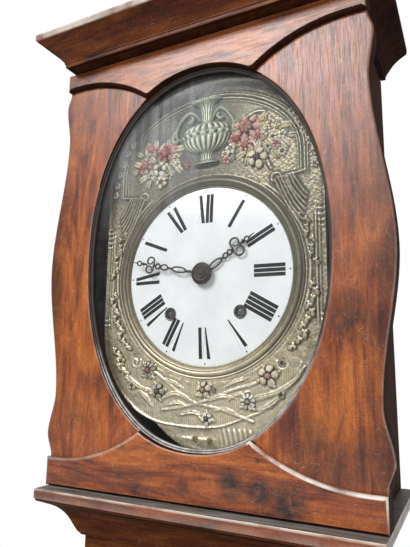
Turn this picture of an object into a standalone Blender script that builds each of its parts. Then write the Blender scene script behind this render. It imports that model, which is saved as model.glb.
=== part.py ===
"""Comtoise longcase clock: wooden case, glazed doors, enamel dial, iron cage movement, pendulum and weights.

Metres, x to the right, y to the back, z up. The origin is on the floor, in the middle of the clock.
"""
import math

import bmesh
import bpy
from mathutils import Matrix, Vector

# Clearances
GAP = 0.0003
DOOR_RUN = 0.0015

# Case boards
CASE_DEPTH = 0.217
BACK_BOARD = 0.010
BASE_HEIGHT = 0.405
BASE_STEP = 0.042
BASE_WALL = 0.018
BASE_MOULDING_HEIGHT = 0.030
BASE_MOULDING_LIP = 0.006
BASE_MOULDING_EDGE = 0.008
TRUNK_HALF_WIDTH = 0.163
TRUNK_SETBACK = 0.030
TRUNK_WALL = 0.018
TRUNK_FRONT = 0.018
TRUNK_FRAME_FOOT = 0.025
LEDGE_HEIGHT = 1.583
LEDGE_OVERHANG = 0.016
LEDGE_EDGE = 0.011
THROAT_HEIGHT = 0.058
THROAT_FILLET = 0.003
THROAT_STEP = 0.008

# Hood
DIAL_ABOVE_LEDGE = 0.277
SOFFIT_ABOVE_DIAL = 0.3192
HOOD_HALF_WIDTH = 0.204
HOOD_WALL = 0.015
TOP_BOARD = 0.018
FASCIA_AHEAD = 0.0186
CORNICE_OUT = 0.0394
CORNICE_HEIGHT = 0.0442
CORNICE_FILLET = 0.010
CORNICE_BEAD = 0.0027

# Hood door: heights from the dial's centre, widths past the hood's side
STILE_THICKNESS = 0.020
RAIL_PROUD = 0.007
RAIL_OVERHANG = 0.0166
DOOR_BACK_RUN = 0.0005
HIP_HEIGHT, HIP_OVERHANG = -0.210, 0.0250
WAIST_HEIGHT, WAIST_OVERHANG = -0.157, 0.0149
BELLY_HEIGHT, BELLY_OVERHANG = 0.017, 0.0362
NECK_HEIGHT, NECK_OVERHANG = 0.211, 0.0155
SHOULDER_HEIGHT, SHOULDER_OVERHANG = 0.268, 0.0229
TOP_RAIL_EDGE = 0.2918
TOP_RAIL_ARC_RADIUS = 0.194
TOP_RAIL_ARC_X = 0.1995
BOTTOM_RAIL_EDGE = -0.240
BOTTOM_RAIL_ARC_RADIUS = 0.2231
BOTTOM_RAIL_ARC_X = 0.2052
OVAL_HALF_WIDTH = 0.171
OVAL_HALF_HEIGHT = 0.2462
OVAL_RISE = 0.0279
OVAL_POWER = 2.15
GLASS = 0.003
GLASS_LAP = 0.006
GLASS_INSET = 0.001
HOOD_GLASS_INSET = 0.009
PIVOT_OUT = 0.0095
PIVOT_DEPTH = 0.012
PIVOT_RADIUS = 0.0025
PIVOT_PLATE = 0.003
PIVOT_REACH = 0.010

# Trunk door, between a rail of the frame over the base and one under the ledge
TRUNK_OPENING_HALF_WIDTH = 0.118
TRUNK_BOTTOM_RAIL = 0.095
TRUNK_TOP_RAIL = 0.113
WINDOW_HALF_WIDTH = 0.078
WINDOW_MARGIN = 0.105
WINDOW_ARCH = 0.045
TRUNK_PIVOT_INSET = 0.008
TRUNK_PIVOT_DEPTH = 0.004
TRUNK_PIVOT_RADIUS = 0.002
TRUNK_PIVOT_REACH = 0.008
KNOB_RADIUS = 0.011
KNOB_LENGTH = 0.020
KNOB_SHANK = 0.003
# The knob's profile: shares of its radius and of its length, front to back
KNOB_PROFILE = ((0.0, 1.0), (0.7, 0.95), (1.0, 0.75), (0.8, 0.55), (0.45, 0.35), (0.9, 0.1))
TONGUE_LENGTH = 0.032
TONGUE_HALF_WIDTH = 0.006
TONGUE_THICKNESS = 0.003
TONGUE_RUN = 0.0006

# Dial, pressed surround and hands
DIAL_DEPTH = 0.030
DIAL_RADIUS = 0.124
DIAL_DOME = 0.0025
DIAL_THICKNESS = 0.003
DIAL_FOOT_RADIUS = 0.003
SURROUND_SHEET = 0.002
SURROUND_LIP = 0.0014
SURROUND_HALF_WIDTH = 0.160
SURROUND_SPRING = 0.150
SURROUND_TOP = 0.272
SURROUND_SKIRT = -0.060
SURROUND_BOTTOM = -0.200
SURROUND_POWER = 2.3
SHELL_HALF_WIDTH = 0.046
SHELL_BOTTOM = -0.222
BEZEL_WIDTH = 0.015
BEZEL_HEIGHT = 0.0062
WINDING_X = 0.050
WINDING_Z = -0.050
WINDING_HOLE = 0.0075
HAND_SHEET = 0.001
MINUTE_HAND_FRONT = 0.0170
HOUR_HAND_FRONT = 0.0198
MINUTE_HAND_LENGTH = 0.108
HOUR_HAND_LENGTH = 0.085
MINUTE_HAND_TAIL = 0.012
MINUTE_BOSS_RADIUS = 0.0145
MINUTE_BOSS_HEIGHT = 0.0045
# The boss's dome: shares of its radius and of its height
MINUTE_BOSS_PROFILE = ((0.0, 1.0), (0.6, 0.8), (1.0, 0.0))
HOUR_BOSS_RADIUS = 0.011
HAND_RIM = 0.0012
HAND_NECK = 0.0011
SHOWN_MINUTES = 107.0
# How far ahead the hour hand was pushed on to its pipe, in minutes
HOUR_HAND_AHEAD = 6.0
# Loops of the hands: middle along the hand, half length, half width, sideways place of a pair
MINUTE_LOOPS = ((0.0345, 0.0105, 0.0040, 0.0), (0.0580, 0.0056, 0.0042, 0.0), (0.0683, 0.0036, 0.0040, 0.0),
                (0.0806, 0.0062, 0.0060, 0.0058), (0.0985, 0.0036, 0.0036, 0.0))
HOUR_LOOPS = ((0.0215, 0.0098, 0.0042, 0.0), (0.0383, 0.0036, 0.0038, 0.0), (0.0455, 0.0032, 0.0040, 0.0),
              (0.0566, 0.0068, 0.0066, 0.0064), (0.0730, 0.0032, 0.0034, 0.0))

# Iron cage
CAGE_HALF_WIDTH = 0.075
CAGE_PLATE = 0.004
CAGE_TOP = 0.080
CAGE_BOTTOM = -0.105
CAGE_SETBACK = 0.024
CAGE_MARGIN = 0.002
PILLAR = 0.008
PILLAR_X = 0.070
BAR = 0.004
BAR_INNER_X = 0.0265
BAR_OUTER_X = 0.0585
CENTRE_BAR_HALF_WIDTH = 0.009
LUG_DROP = 0.010
SEAT_BOARD = 0.018
SEAT_MARGIN = 0.002
LINE_SLOT_HALF_WIDTH = 0.007
LINE_SLOT_HALF_LENGTH = 0.020

# Trains: teeth, modules, directions of the next arbor
ARBOR_RADIUS = 0.0015
WINDING_ARBOR_RADIUS = 0.004
WHEEL = 0.003
PINION = 0.007
GREAT_TEETH = 72
CENTRE_TEETH = 48
THIRD_TEETH = 45
ESCAPE_TEETH = 30
PINION_LEAVES = 6
GREAT_MODULE = 0.001167
CENTRE_MODULE = 0.001
THIRD_MODULE = 0.0009
CENTRE_LEAN = math.radians(95)
THIRD_LEAN = math.radians(100.7)
ESCAPE_LEAN = math.radians(107.8)
ESCAPE_RADIUS = 0.020
ESCAPE_TOOTH = 0.004
# Shares of the pitch where an escape tooth rises, reaches its tip, leaves it and falls back
ESCAPE_TOOTH_SHARES = (0.0, 0.18, 0.26, 0.55)
TRANSFER_TEETH = 30
CANNON_TEETH = 12
MINUTE_TEETH = 36
MOTION_TEETH = 10
HOUR_TEETH = 40
MOTION_DROP = 0.028
HAND_ARBOR_RADIUS = 0.0033
HOUR_PIPE_RADIUS = 0.005
WHEEL_TOOTH = (0.80, 1.00, 0.22, 0.0)
PINION_TOOTH = (0.60, 1.15, 0.20, 0.09)
GREAT_SPACE = 0.016
SECOND_SPACE = 0.014
BARREL_SPACE = 0.008
BARREL_REAR_SPACE = 0.020
THIRD_SPACE = 0.015
ESCAPE_REAR_SPACE = 0.030
TRANSFER_SPACE = 0.0085
CANNON_SPACE = 0.006
HOUR_SPACE = 0.0035
MOTION_SPACE = 0.002
PINION_LEAD = 0.002
BARREL_RADIUS = 0.014
BARREL_FLANGE_RADIUS = 0.022
BARREL_FLANGE = 0.002
STRIKE_PINS = 8
STRIKE_PIN_RADIUS = 0.0012
STRIKE_PIN_LENGTH = 0.006
STRIKE_PIN_CIRCLE = 0.018
FLY_RADIUS = 0.020
FLY_LENGTH = 0.030
FLY_SHEET = 0.001

# Anchor, crutch and pendulum
ANCHOR_HEIGHT = 0.055
ANCHOR_THICKNESS = 0.006
ANCHOR_SPAN = math.radians(57)
ANCHOR_HUB = 0.0045
ANCHOR_ARM = 0.0042
PALLET_CLEAR = 0.0022
CRUTCH_LENGTH = 0.100
CRUTCH_WIDTH = 0.006
CRUTCH_SHEET = 0.003
CRUTCH_SPACE = 0.006
FORK_PRONG = 0.003
FORK_RUN = 0.0005
ROD_RADIUS = 0.004
SUSPENSION_RADIUS = 0.002
CHEEK = 0.003
CHEEK_HALF_WIDTH = 0.006
CHEEK_SPACE = 0.0075
COCK_HALF_WIDTH = 0.012
PENDULUM_LENGTH = 0.994
PENDULUM_BACK_SPACE = 0.022
BOB_RADIUS = 0.085
BOB_HALF_THICKNESS = 0.012
RATING_NUT_RADIUS = 0.010
RATING_NUT_HEIGHT = 0.008
ROD_END = 0.012

# Bell and hammer
BELL_RADIUS = 0.055
BELL_HEIGHT = 0.045
BELL_WALL = 0.003
BELL_MOUTH = 0.105
BELL_POST_RADIUS = 0.004
BELL_STUD_RADIUS = 0.003
BELL_NUT_RADIUS = 0.006
BELL_NUT_HEIGHT = 0.005
HAMMER_HEIGHT = 0.060
HAMMER_ARBOR_RADIUS = 0.0025
HAMMER_ARM = 0.004
HAMMER_ARM_OUT = 0.012
HAMMER_HEAD_RADIUS = 0.008
HAMMER_HEAD_LENGTH = 0.028
HAMMER_STAND = 0.001
HAMMER_TAIL = 0.050
TAIL_RUN = 0.002

# Weights and lines
WEIGHT_RADIUS = 0.040
WEIGHT_HEIGHT = 0.130
WEIGHT_SHOULDER = 0.015
WEIGHT_EYE_RADIUS = 0.004
WEIGHT_EYE_HEIGHT = 0.012
WEIGHT_REST = 0.120
LINE_RADIUS = 0.0015

# Facets
ROUND = 20
LARGE_ROUND = 36
DIAL_FACETS = 48
DIAL_RINGS = 3
OVAL_POINTS = 64
SMALL_ROUND = 10
LOOP_STEPS = 8
EDGE_STEPS = 6

# Places worked out from the sizes
FACE = (FASCIA_AHEAD + CORNICE_OUT - CASE_DEPTH) / 2
WALL = FACE + CASE_DEPTH
BACK_FACE = WALL - BACK_BOARD
DIAL_Z = LEDGE_HEIGHT + DIAL_ABOVE_LEDGE
SOFFIT = DIAL_Z + SOFFIT_ABOVE_DIAL
DOOR_BACK = FACE + STILE_THICKNESS
HOOD_FRONT = DOOR_BACK + DOOR_BACK_RUN
TRUNK_FACE = FACE + TRUNK_SETBACK
TRUNK_FRONT_BACK = TRUNK_FACE + TRUNK_FRONT
TRUNK_OPENING_BOTTOM = BASE_HEIGHT + TRUNK_BOTTOM_RAIL
TRUNK_OPENING_TOP = LEDGE_HEIGHT - TRUNK_TOP_RAIL
FASCIA = FACE - FASCIA_AHEAD
HOOD_DOOR_TOP = SOFFIT - GAP - PIVOT_PLATE - DOOR_RUN
HOOD_DOOR_BOTTOM = LEDGE_HEIGHT + DOOR_RUN
HOOD_AXIS = (-(HOOD_HALF_WIDTH + PIVOT_OUT), FACE + PIVOT_DEPTH)
DIAL_FRONT = FACE + DIAL_DEPTH
DIAL_BACK = DIAL_FRONT + DIAL_THICKNESS
SURROUND_BACK = DIAL_FRONT - GAP
SURROUND_FRONT = SURROUND_BACK - SURROUND_SHEET
SURROUND_HOLE = DIAL_RADIUS - SURROUND_LIP
FRONT_BAR = DIAL_BACK + CAGE_SETBACK - GAP
FRONT_BAR_BACK = FRONT_BAR + BAR
PENDULUM_Y = BACK_FACE - PENDULUM_BACK_SPACE
CRUTCH_Y = PENDULUM_Y - CHEEK_SPACE - CHEEK - CRUTCH_SPACE
REAR_BAR_BACK = CRUTCH_Y - CRUTCH_SPACE
REAR_BAR = REAR_BAR_BACK - BAR
CAGE_FRONT = FRONT_BAR - CAGE_MARGIN
CAGE_REAR = REAR_BAR_BACK + CAGE_MARGIN
ARBOR_FRONT = FRONT_BAR + GAP
ARBOR_REAR = REAR_BAR_BACK - GAP
CAGE_TOP_Z = DIAL_Z + CAGE_TOP
CAGE_BOTTOM_Z = DIAL_Z + CAGE_BOTTOM
SEAT_TOP = CAGE_BOTTOM_Z - GAP
SEAT_BOTTOM = SEAT_TOP - SEAT_BOARD
GREAT_Y = FRONT_BAR_BACK + GREAT_SPACE
SECOND_Y = GREAT_Y + SECOND_SPACE
BARREL_Y = SECOND_Y + BARREL_SPACE
BARREL_END = REAR_BAR - BARREL_REAR_SPACE
THIRD_Y = SECOND_Y + THIRD_SPACE
ESCAPE_Y = REAR_BAR - ESCAPE_REAR_SPACE
HAMMER_TAIL_Y = SECOND_Y + WHEEL + STRIKE_PIN_LENGTH + TAIL_RUN
FLY_Y = HAMMER_TAIL_Y + HAMMER_ARM + TAIL_RUN
LINE_Y = (BARREL_Y + BARREL_END) / 2
LINE_X = WINDING_X + BARREL_RADIUS + LINE_RADIUS
TRANSFER_Y = FRONT_BAR - TRANSFER_SPACE
CANNON_Y = TRANSFER_Y - CANNON_SPACE
HOUR_WHEEL_Y = DIAL_BACK + HOUR_SPACE
BELL_Y = (CAGE_FRONT + CAGE_REAR) / 2


def step_from(place, distance, lean):
    """The place at a distance from another, at an angle from +x towards +z."""
    return (place[0] + distance * math.cos(lean), place[1] + distance * math.sin(lean))


def mesh_distance(module, first, second):
    """The distance between the arbors of two wheels in mesh."""
    return module * (first + second) / 2


def direction(start, end):
    """The angle from one arbor to another."""
    return math.atan2(end[1] - start[1], end[0] - start[0])


def mirrored(place):
    return (-place[0], place[1])


def swung(place, angle):
    """A place turned about the origin, from +x towards +z."""
    cos = math.cos(angle)
    sin = math.sin(angle)
    return (place[0] * cos - place[1] * sin, place[0] * sin + place[1] * cos)


# Arbors, in x and z from the dial's centre
CENTRE_ARBOR = (0.0, 0.0)
GREAT_ARBOR = (WINDING_X, WINDING_Z)
SECOND_ARBOR = step_from(GREAT_ARBOR, mesh_distance(GREAT_MODULE, GREAT_TEETH, PINION_LEAVES), CENTRE_LEAN)
THIRD_ARBOR = step_from(SECOND_ARBOR, mesh_distance(CENTRE_MODULE, CENTRE_TEETH, PINION_LEAVES), THIRD_LEAN)
ESCAPE_ARBOR = step_from(THIRD_ARBOR, mesh_distance(THIRD_MODULE, THIRD_TEETH, PINION_LEAVES), ESCAPE_LEAN)
ANCHOR_ARBOR = (0.0, ANCHOR_HEIGHT)
MOTION_ARBOR = (0.0, -MOTION_DROP)
TRANSFER_MODULE = math.hypot(*SECOND_ARBOR) / TRANSFER_TEETH
CANNON_MODULE = 2 * MOTION_DROP / (CANNON_TEETH + MINUTE_TEETH)
HOUR_MODULE = 2 * MOTION_DROP / (MOTION_TEETH + HOUR_TEETH)

# An empty file to model in, with one collection for the clock and one for its cutters
for old in list(bpy.data.objects):
    bpy.data.objects.remove(old, do_unlink=True)
CLOCK = bpy.data.collections.new("comtoise_clock")
CUTTERS = bpy.data.collections.new("cutters")
for group in (CLOCK, CUTTERS):
    bpy.context.scene.collection.children.link(group)


def material(name, colour, roughness, metallic):
    made = bpy.data.materials.new(name)
    made.use_nodes = True
    shader = made.node_tree.nodes["Principled BSDF"]
    shader.inputs["Base Color"].default_value = (*colour, 1.0)
    shader.inputs["Roughness"].default_value = roughness
    shader.inputs["Metallic"].default_value = metallic
    return made


WOOD = material("stained_wood", (0.27, 0.085, 0.025), 0.38, 0.0)
DARK_WOOD = material("dark_wood", (0.045, 0.018, 0.010), 0.55, 0.0)
IRON = material("forged_iron", (0.085, 0.082, 0.080), 0.55, 0.9)
CAST_IRON = material("cast_iron", (0.055, 0.053, 0.052), 0.7, 0.6)
STEEL = material("steel", (0.42, 0.42, 0.42), 0.35, 1.0)
BRASS = material("brass", (0.62, 0.45, 0.17), 0.32, 1.0)
PRESSED_BRASS = material("pressed_brass", (0.36, 0.30, 0.15), 0.42, 0.9)
BRONZE = material("blackened_bronze", (0.075, 0.055, 0.035), 0.45, 0.8)
ENAMEL = material("white_enamel", (0.86, 0.85, 0.82), 0.12, 0.0)
GLAZING = material("window_glass", (0.85, 0.90, 0.88), 0.03, 0.0)
CORD = material("gut_line", (0.36, 0.27, 0.15), 0.75, 0.0)


def new_object(name, mesh, place=(0.0, 0.0, 0.0)):
    made = bpy.data.objects.new(name, mesh)
    made.location = place
    CLOCK.objects.link(made)
    return made


def from_bmesh(name, shape, place=(0.0, 0.0, 0.0)):
    mesh = bpy.data.meshes.new(name)
    shape.to_mesh(mesh)
    shape.free()
    return new_object(name, mesh, place)


def box(name, x, y, z):
    """A board or bar between two limits on each axis."""
    shape = bmesh.new()
    size = Matrix.Diagonal((x[1] - x[0], y[1] - y[0], z[1] - z[0], 1.0))
    bmesh.ops.create_cube(shape, size=1.0, matrix=size)
    return from_bmesh(name, shape, ((x[0] + x[1]) / 2, (y[0] + y[1]) / 2, (z[0] + z[1]) / 2))


def cylinder(name, radius, start, end, sides=ROUND):
    """A round bar from one point to another."""
    start = Vector(start)
    end = Vector(end)
    span = end - start
    shape = bmesh.new()
    turn = span.to_track_quat("Z", "Y").to_matrix().to_4x4()
    bmesh.ops.create_cone(shape, cap_ends=True, segments=sides, radius1=radius, radius2=radius,
                          depth=span.length, matrix=turn)
    return from_bmesh(name, shape, (start + end) / 2)


def arbor(name, radius, at, y, sides=SMALL_ROUND):
    """A round bar along y at a place on the movement's front view."""
    x, z = at
    return cylinder(name, radius, (x, y[0], DIAL_Z + z), (x, y[1], DIAL_Z + z), sides)


def plate(name, outlines, y, at=(0.0, 0.0)):
    """A flat plate: outlines in x and z around a place, filled and extruded along y."""
    curve = bpy.data.curves.new(name, "CURVE")
    curve.dimensions = "2D"
    curve.fill_mode = "BOTH"
    curve.extrude = (y[1] - y[0]) / 2
    for outline in outlines:
        spline = curve.splines.new("POLY")
        spline.points.add(len(outline) - 1)
        for point, (x, z) in zip(spline.points, outline):
            point.co = (x, z, 0.0, 1.0)
        spline.use_cyclic_u = True
    drawn = bpy.data.objects.new(name, curve)
    drawn.location = (at[0], (y[0] + y[1]) / 2, at[1])
    drawn.rotation_euler = (math.pi / 2, 0.0, 0.0)
    CLOCK.objects.link(drawn)
    bpy.context.view_layer.update()
    mesh = bpy.data.meshes.new_from_object(drawn.evaluated_get(bpy.context.evaluated_depsgraph_get()))
    shape = bmesh.new()
    shape.from_mesh(mesh)
    bmesh.ops.remove_doubles(shape, verts=shape.verts, dist=0.000001)
    shape.to_mesh(mesh)
    shape.free()
    placed = drawn.matrix_world.copy()
    bpy.data.objects.remove(drawn, do_unlink=True)
    bpy.data.curves.remove(curve)
    made = new_object(name, mesh)
    made.matrix_world = placed
    return made


def turned(name, profile, place, closed=False, facing_front=False, steps=ROUND):
    """A turned piece: radius and height pairs, top to bottom, turned about z or about the front axis."""
    shape = bmesh.new()
    points = [shape.verts.new((radius, 0.0, height)) for radius, height in profile]
    for first, second in zip(points, points[1:]):
        shape.edges.new((first, second))
    if closed:
        shape.edges.new((points[-1], points[0]))
    made = from_bmesh(name, shape, place)
    if facing_front:
        made.rotation_euler = (math.pi / 2, 0.0, 0.0)
    screw = made.modifiers.new("turning", "SCREW")
    screw.steps = steps
    screw.render_steps = steps
    screw.use_merge_vertices = True
    screw.merge_threshold = 0.00001
    return made


def combine(target, other, operation):
    other.hide_render = True
    other.display_type = "WIRE"
    CLOCK.objects.unlink(other)
    CUTTERS.objects.link(other)
    change = target.modifiers.new(operation.lower(), "BOOLEAN")
    change.operation = operation
    change.object = other


def cut(target, *cutters):
    for cutter in cutters:
        combine(target, cutter, "DIFFERENCE")


def fuse(target, *pieces):
    for piece in pieces:
        combine(target, piece, "UNION")


def finish(made, surface, carrier=None):
    """Gives a piece its material and, if it moves, hangs it on the empty at its joint's axis."""
    made.data.materials.clear()
    made.data.materials.append(surface)
    made.data.shade_smooth()
    made.data.set_sharp_from_angle(angle=math.radians(30))
    if carrier:
        bpy.context.view_layer.update()
        made.parent = carrier
        made.matrix_parent_inverse = carrier.matrix_world.inverted()
    return made


def axis(name, place):
    made = bpy.data.objects.new(name, None)
    made.location = place
    CLOCK.objects.link(made)
    bpy.context.view_layer.update()
    return made


def arbor_axis(name, at):
    return axis(name, (at[0], 0.0, DIAL_Z + at[1]))


def moulding(name, profile, half_width, front):
    """A moulding round the left side, the front and the right side, mitred at both corners.

    The profile's points are distances out from the carcass and heights.
    """
    shape = bmesh.new()
    rings = []
    for side, at_wall in ((-1, True), (-1, False), (1, False), (1, True)):
        ring = []
        for out, z in profile:
            y = WALL if at_wall else front - out
            ring.append(shape.verts.new((side * (half_width + out), y, z)))
        rings.append(ring)
    for near, far in zip(rings, rings[1:]):
        for i in range(len(profile)):
            j = (i + 1) % len(profile)
            shape.faces.new((near[i], near[j], far[j], far[i]))
    shape.faces.new(rings[0])
    shape.faces.new(rings[-1])
    bmesh.ops.recalc_face_normals(shape, faces=shape.faces)
    return from_bmesh(name, shape)


def cove(start, end, steps=EDGE_STEPS):
    """A quarter hollow between two profile points, upright at the first and level at the second."""
    points = []
    for i in range(steps + 1):
        turn = math.pi / 2 * i / steps
        out = end[0] - (end[0] - start[0]) * math.cos(turn)
        z = start[1] + (end[1] - start[1]) * math.sin(turn)
        points.append((out, z))
    return points


def circle(radius, points=ROUND, at=(0.0, 0.0)):
    angles = [2 * math.pi * i / points for i in range(points)]
    return [(at[0] + radius * math.cos(a), at[1] + radius * math.sin(a)) for a in angles]


def oval(half_width, half_height, power, points):
    """A superellipse, a little fuller than an ellipse when the power is over 2."""
    outline = []
    for i in range(points):
        turn = 2 * math.pi * i / points
        x = math.copysign(abs(math.cos(turn)) ** (2 / power), math.cos(turn))
        z = math.copysign(abs(math.sin(turn)) ** (2 / power), math.sin(turn))
        outline.append((half_width * x, half_height * z))
    return outline


def toothed(teeth, module, phase, tooth):
    """A wheel's outline. A tooth is its addendum and dedendum in modules and its half widths at the root

    and at the tip in shares of the pitch; with no width at the tip it is pointed.
    """
    addendum, dedendum, root, tip = tooth
    inner = module * (teeth / 2 - dedendum)
    outer = module * (teeth / 2 + addendum)
    pitch = 2 * math.pi / teeth
    corners = [(inner, -root), (outer, -tip), (outer, tip), (inner, root)]
    if tip == 0.0:
        corners.remove((outer, tip))
    outline = []
    for i in range(teeth):
        for radius, share in corners:
            angle = phase + (i + share) * pitch
            outline.append((radius * math.cos(angle), radius * math.sin(angle)))
    return outline


def wheel(name, at, y, teeth, module, partner, tooth=WHEEL_TOOTH, bore=None):
    """A wheel with a tooth towards its partner's arbor."""
    outlines = [toothed(teeth, module, direction(at, partner), tooth)]
    if bore:
        outlines.append(circle(bore))
    return plate(name, outlines, y, (at[0], DIAL_Z + at[1]))


def pinion(name, at, y, teeth, module, partner):
    """A pinion with a gap towards its partner's arbor."""
    phase = direction(at, partner) + math.pi / teeth
    return plate(name, [toothed(teeth, module, phase, PINION_TOOTH)], y, (at[0], DIAL_Z + at[1]))


def build_base():
    """The wide foot of the case: three boards and the moulding that closes it round the trunk."""
    half = TRUNK_HALF_WIDTH + BASE_STEP
    front = TRUNK_FACE - BASE_STEP
    finish(box("base_front", (-half, half), (front, front + BASE_WALL), (0.0, BASE_HEIGHT)), WOOD)
    side_y = (front + BASE_WALL + GAP, WALL)
    finish(box("base_left_side", (-half, -half + BASE_WALL), side_y, (0.0, BASE_HEIGHT)), WOOD)
    finish(box("base_right_side", (half - BASE_WALL, half), side_y, (0.0, BASE_HEIGHT)), WOOD)
    bottom = BASE_HEIGHT + GAP
    top = bottom + BASE_MOULDING_HEIGHT
    reach = BASE_STEP + BASE_MOULDING_LIP
    profile = [(GAP, bottom), (reach, bottom), (reach, bottom + BASE_MOULDING_EDGE)]
    hollow = cove((BASE_MOULDING_LIP, top), (reach - BASE_MOULDING_LIP, bottom + BASE_MOULDING_EDGE))
    profile += hollow[::-1]
    profile.append((GAP, top))
    finish(moulding("base_moulding", profile, TRUNK_HALF_WIDTH, TRUNK_FACE), WOOD)


def build_trunk():
    """The narrow trunk: sides up to the seat board, a front frame, a back and the throat moulding."""
    half = TRUNK_HALF_WIDTH
    side_y = (TRUNK_FRONT_BACK + GAP, BACK_FACE - GAP)
    side_z = (0.0, SEAT_BOTTOM - GAP)
    finish(box("trunk_left_side", (-half, -half + TRUNK_WALL), side_y, side_z), DARK_WOOD)
    finish(box("trunk_right_side", (half - TRUNK_WALL, half), side_y, side_z), DARK_WOOD)
    finish(box("trunk_back", (-half, half), (BACK_FACE, WALL), (0.0, LEDGE_HEIGHT - GAP)), DARK_WOOD)
    frame_z = (BASE_HEIGHT - TRUNK_FRAME_FOOT, LEDGE_HEIGHT - GAP)
    frame = box("trunk_front_frame", (-half, half), (TRUNK_FACE, TRUNK_FRONT_BACK), frame_z)
    opening_x = (-TRUNK_OPENING_HALF_WIDTH, TRUNK_OPENING_HALF_WIDTH)
    through = (TRUNK_FACE - TRUNK_FRONT, TRUNK_FRONT_BACK + TRUNK_FRONT)
    cut(frame, box("trunk_opening", opening_x, through, (TRUNK_OPENING_BOTTOM, TRUNK_OPENING_TOP)))
    for side, pin in trunk_pivot_pins(GAP):
        cut(frame, cylinder("frame_" + side, *pin))
    finish(frame, WOOD)
    reach = HOOD_HALF_WIDTH + LEDGE_OVERHANG - half
    bottom = LEDGE_HEIGHT - THROAT_HEIGHT
    edge = LEDGE_HEIGHT - LEDGE_EDGE
    profile = [(GAP, bottom), (THROAT_FILLET, bottom), (THROAT_FILLET, bottom + THROAT_FILLET)]
    profile += cove((2 * THROAT_FILLET, bottom + THROAT_FILLET), (reach - THROAT_STEP, edge))
    profile += [(reach, edge), (reach, LEDGE_HEIGHT), (GAP, LEDGE_HEIGHT)]
    throat = moulding("throat_moulding", profile, half, TRUNK_FACE)
    cut(throat, cylinder("ledge_socket", *lower_pivot_pin(GAP)))
    finish(throat, WOOD)


def lower_pivot_pin(extra):
    """Radius and ends of the pin that stands in the ledge and carries the hood door."""
    x, y = HOOD_AXIS
    bottom = LEDGE_HEIGHT - PIVOT_REACH - extra
    top = HOOD_DOOR_BOTTOM + PIVOT_REACH + extra
    return PIVOT_RADIUS + extra, (x, y, bottom), (x, y, top), SMALL_ROUND


def upper_pivot_pin(extra):
    """Radius and ends of the pin that hangs from the upper pivot plate into the hood door."""
    x, y = HOOD_AXIS
    bottom = HOOD_DOOR_TOP - PIVOT_REACH - extra
    top = SOFFIT - GAP - PIVOT_PLATE / 2 + extra
    return PIVOT_RADIUS + extra, (x, y, bottom), (x, y, top), SMALL_ROUND


def trunk_axis():
    x = -TRUNK_OPENING_HALF_WIDTH + DOOR_RUN + TRUNK_PIVOT_INSET
    return (x, TRUNK_FACE + TRUNK_PIVOT_DEPTH)


def trunk_pivot_pins(extra):
    """The trunk door's two pins: name, radius and ends."""
    x, y = trunk_axis()
    pins = []
    for side, edge in (("trunk_pivot_lower", TRUNK_OPENING_BOTTOM), ("trunk_pivot_upper", TRUNK_OPENING_TOP)):
        reach = TRUNK_PIVOT_REACH + extra
        ends = ((x, y, edge - reach), (x, y, edge + reach))
        pins.append((side, (TRUNK_PIVOT_RADIUS + extra, *ends, SMALL_ROUND)))
    return pins


def build_hood():
    """The hood's box: sides, back and top board, with the cornice round its top."""
    half = HOOD_HALF_WIDTH
    hood_z = (LEDGE_HEIGHT + GAP, SOFFIT - GAP)
    side_y = (HOOD_FRONT, BACK_FACE - GAP)
    finish(box("hood_left_side", (-half, -half + HOOD_WALL), side_y, hood_z), DARK_WOOD)
    finish(box("hood_right_side", (half - HOOD_WALL, half), side_y, hood_z), DARK_WOOD)
    finish(box("hood_back", (-half, half), (BACK_FACE, WALL), hood_z), DARK_WOOD)
    finish(box("hood_top_board", (-half, half), (FASCIA, WALL), (SOFFIT, SOFFIT + TOP_BOARD)), WOOD)
    top = SOFFIT + CORNICE_HEIGHT
    fillet = top - CORNICE_FILLET
    profile = [(GAP, SOFFIT), (CORNICE_BEAD, SOFFIT)]
    profile += cove((2 * CORNICE_BEAD, SOFFIT + CORNICE_BEAD), (CORNICE_OUT - CORNICE_BEAD, fillet))
    profile += [(CORNICE_OUT, fillet), (CORNICE_OUT, top), (GAP, top)]
    finish(moulding("cornice", profile, half, FASCIA), WOOD)


def ease(share):
    return share * share * (3 - 2 * share)


def door_edge(low, high):
    """The swelled outer edge of the hood door between two heights, from the dial's centre."""
    turns = [(BOTTOM_RAIL_EDGE, RAIL_OVERHANG), (HIP_HEIGHT, HIP_OVERHANG), (WAIST_HEIGHT, WAIST_OVERHANG),
             (BELLY_HEIGHT, BELLY_OVERHANG), (NECK_HEIGHT, NECK_OVERHANG),
             (SHOULDER_HEIGHT, SHOULDER_OVERHANG), (TOP_RAIL_EDGE, RAIL_OVERHANG)]
    points = []
    for (z0, out0), (z1, out1) in zip(turns, turns[1:]):
        for i in range(EDGE_STEPS):
            share = i / EDGE_STEPS
            z = z0 + (z1 - z0) * share
            points.append((HOOD_HALF_WIDTH + out0 + (out1 - out0) * ease(share), z))
    points.append((HOOD_HALF_WIDTH + RAIL_OVERHANG, TOP_RAIL_EDGE))
    return [(x, min(max(z, low), high)) for x, z in points]


def rail_edge(x, edge, radius, arc_x, drop):
    """The height of a rail's curved edge: level past its arc, and sweeping to the oval inside it."""
    inside = max(0.0, arc_x - abs(x))
    return edge + drop * (radius - math.sqrt(radius * radius - inside * inside))


def top_rail_edge(x):
    return rail_edge(x, TOP_RAIL_EDGE, TOP_RAIL_ARC_RADIUS, TOP_RAIL_ARC_X, -1)


def bottom_rail_edge(x):
    return rail_edge(x, BOTTOM_RAIL_EDGE, BOTTOM_RAIL_ARC_RADIUS, BOTTOM_RAIL_ARC_X, 1)


def edge_places(inner, outer):
    return [inner + (outer - inner) * i / EDGE_STEPS for i in range(EDGE_STEPS + 1)]


def door_oval(extra):
    """The oval opening's outline, grown by an amount all round."""
    return oval(OVAL_HALF_WIDTH + extra, OVAL_HALF_HEIGHT + extra, OVAL_POWER, OVAL_POINTS)


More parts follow.
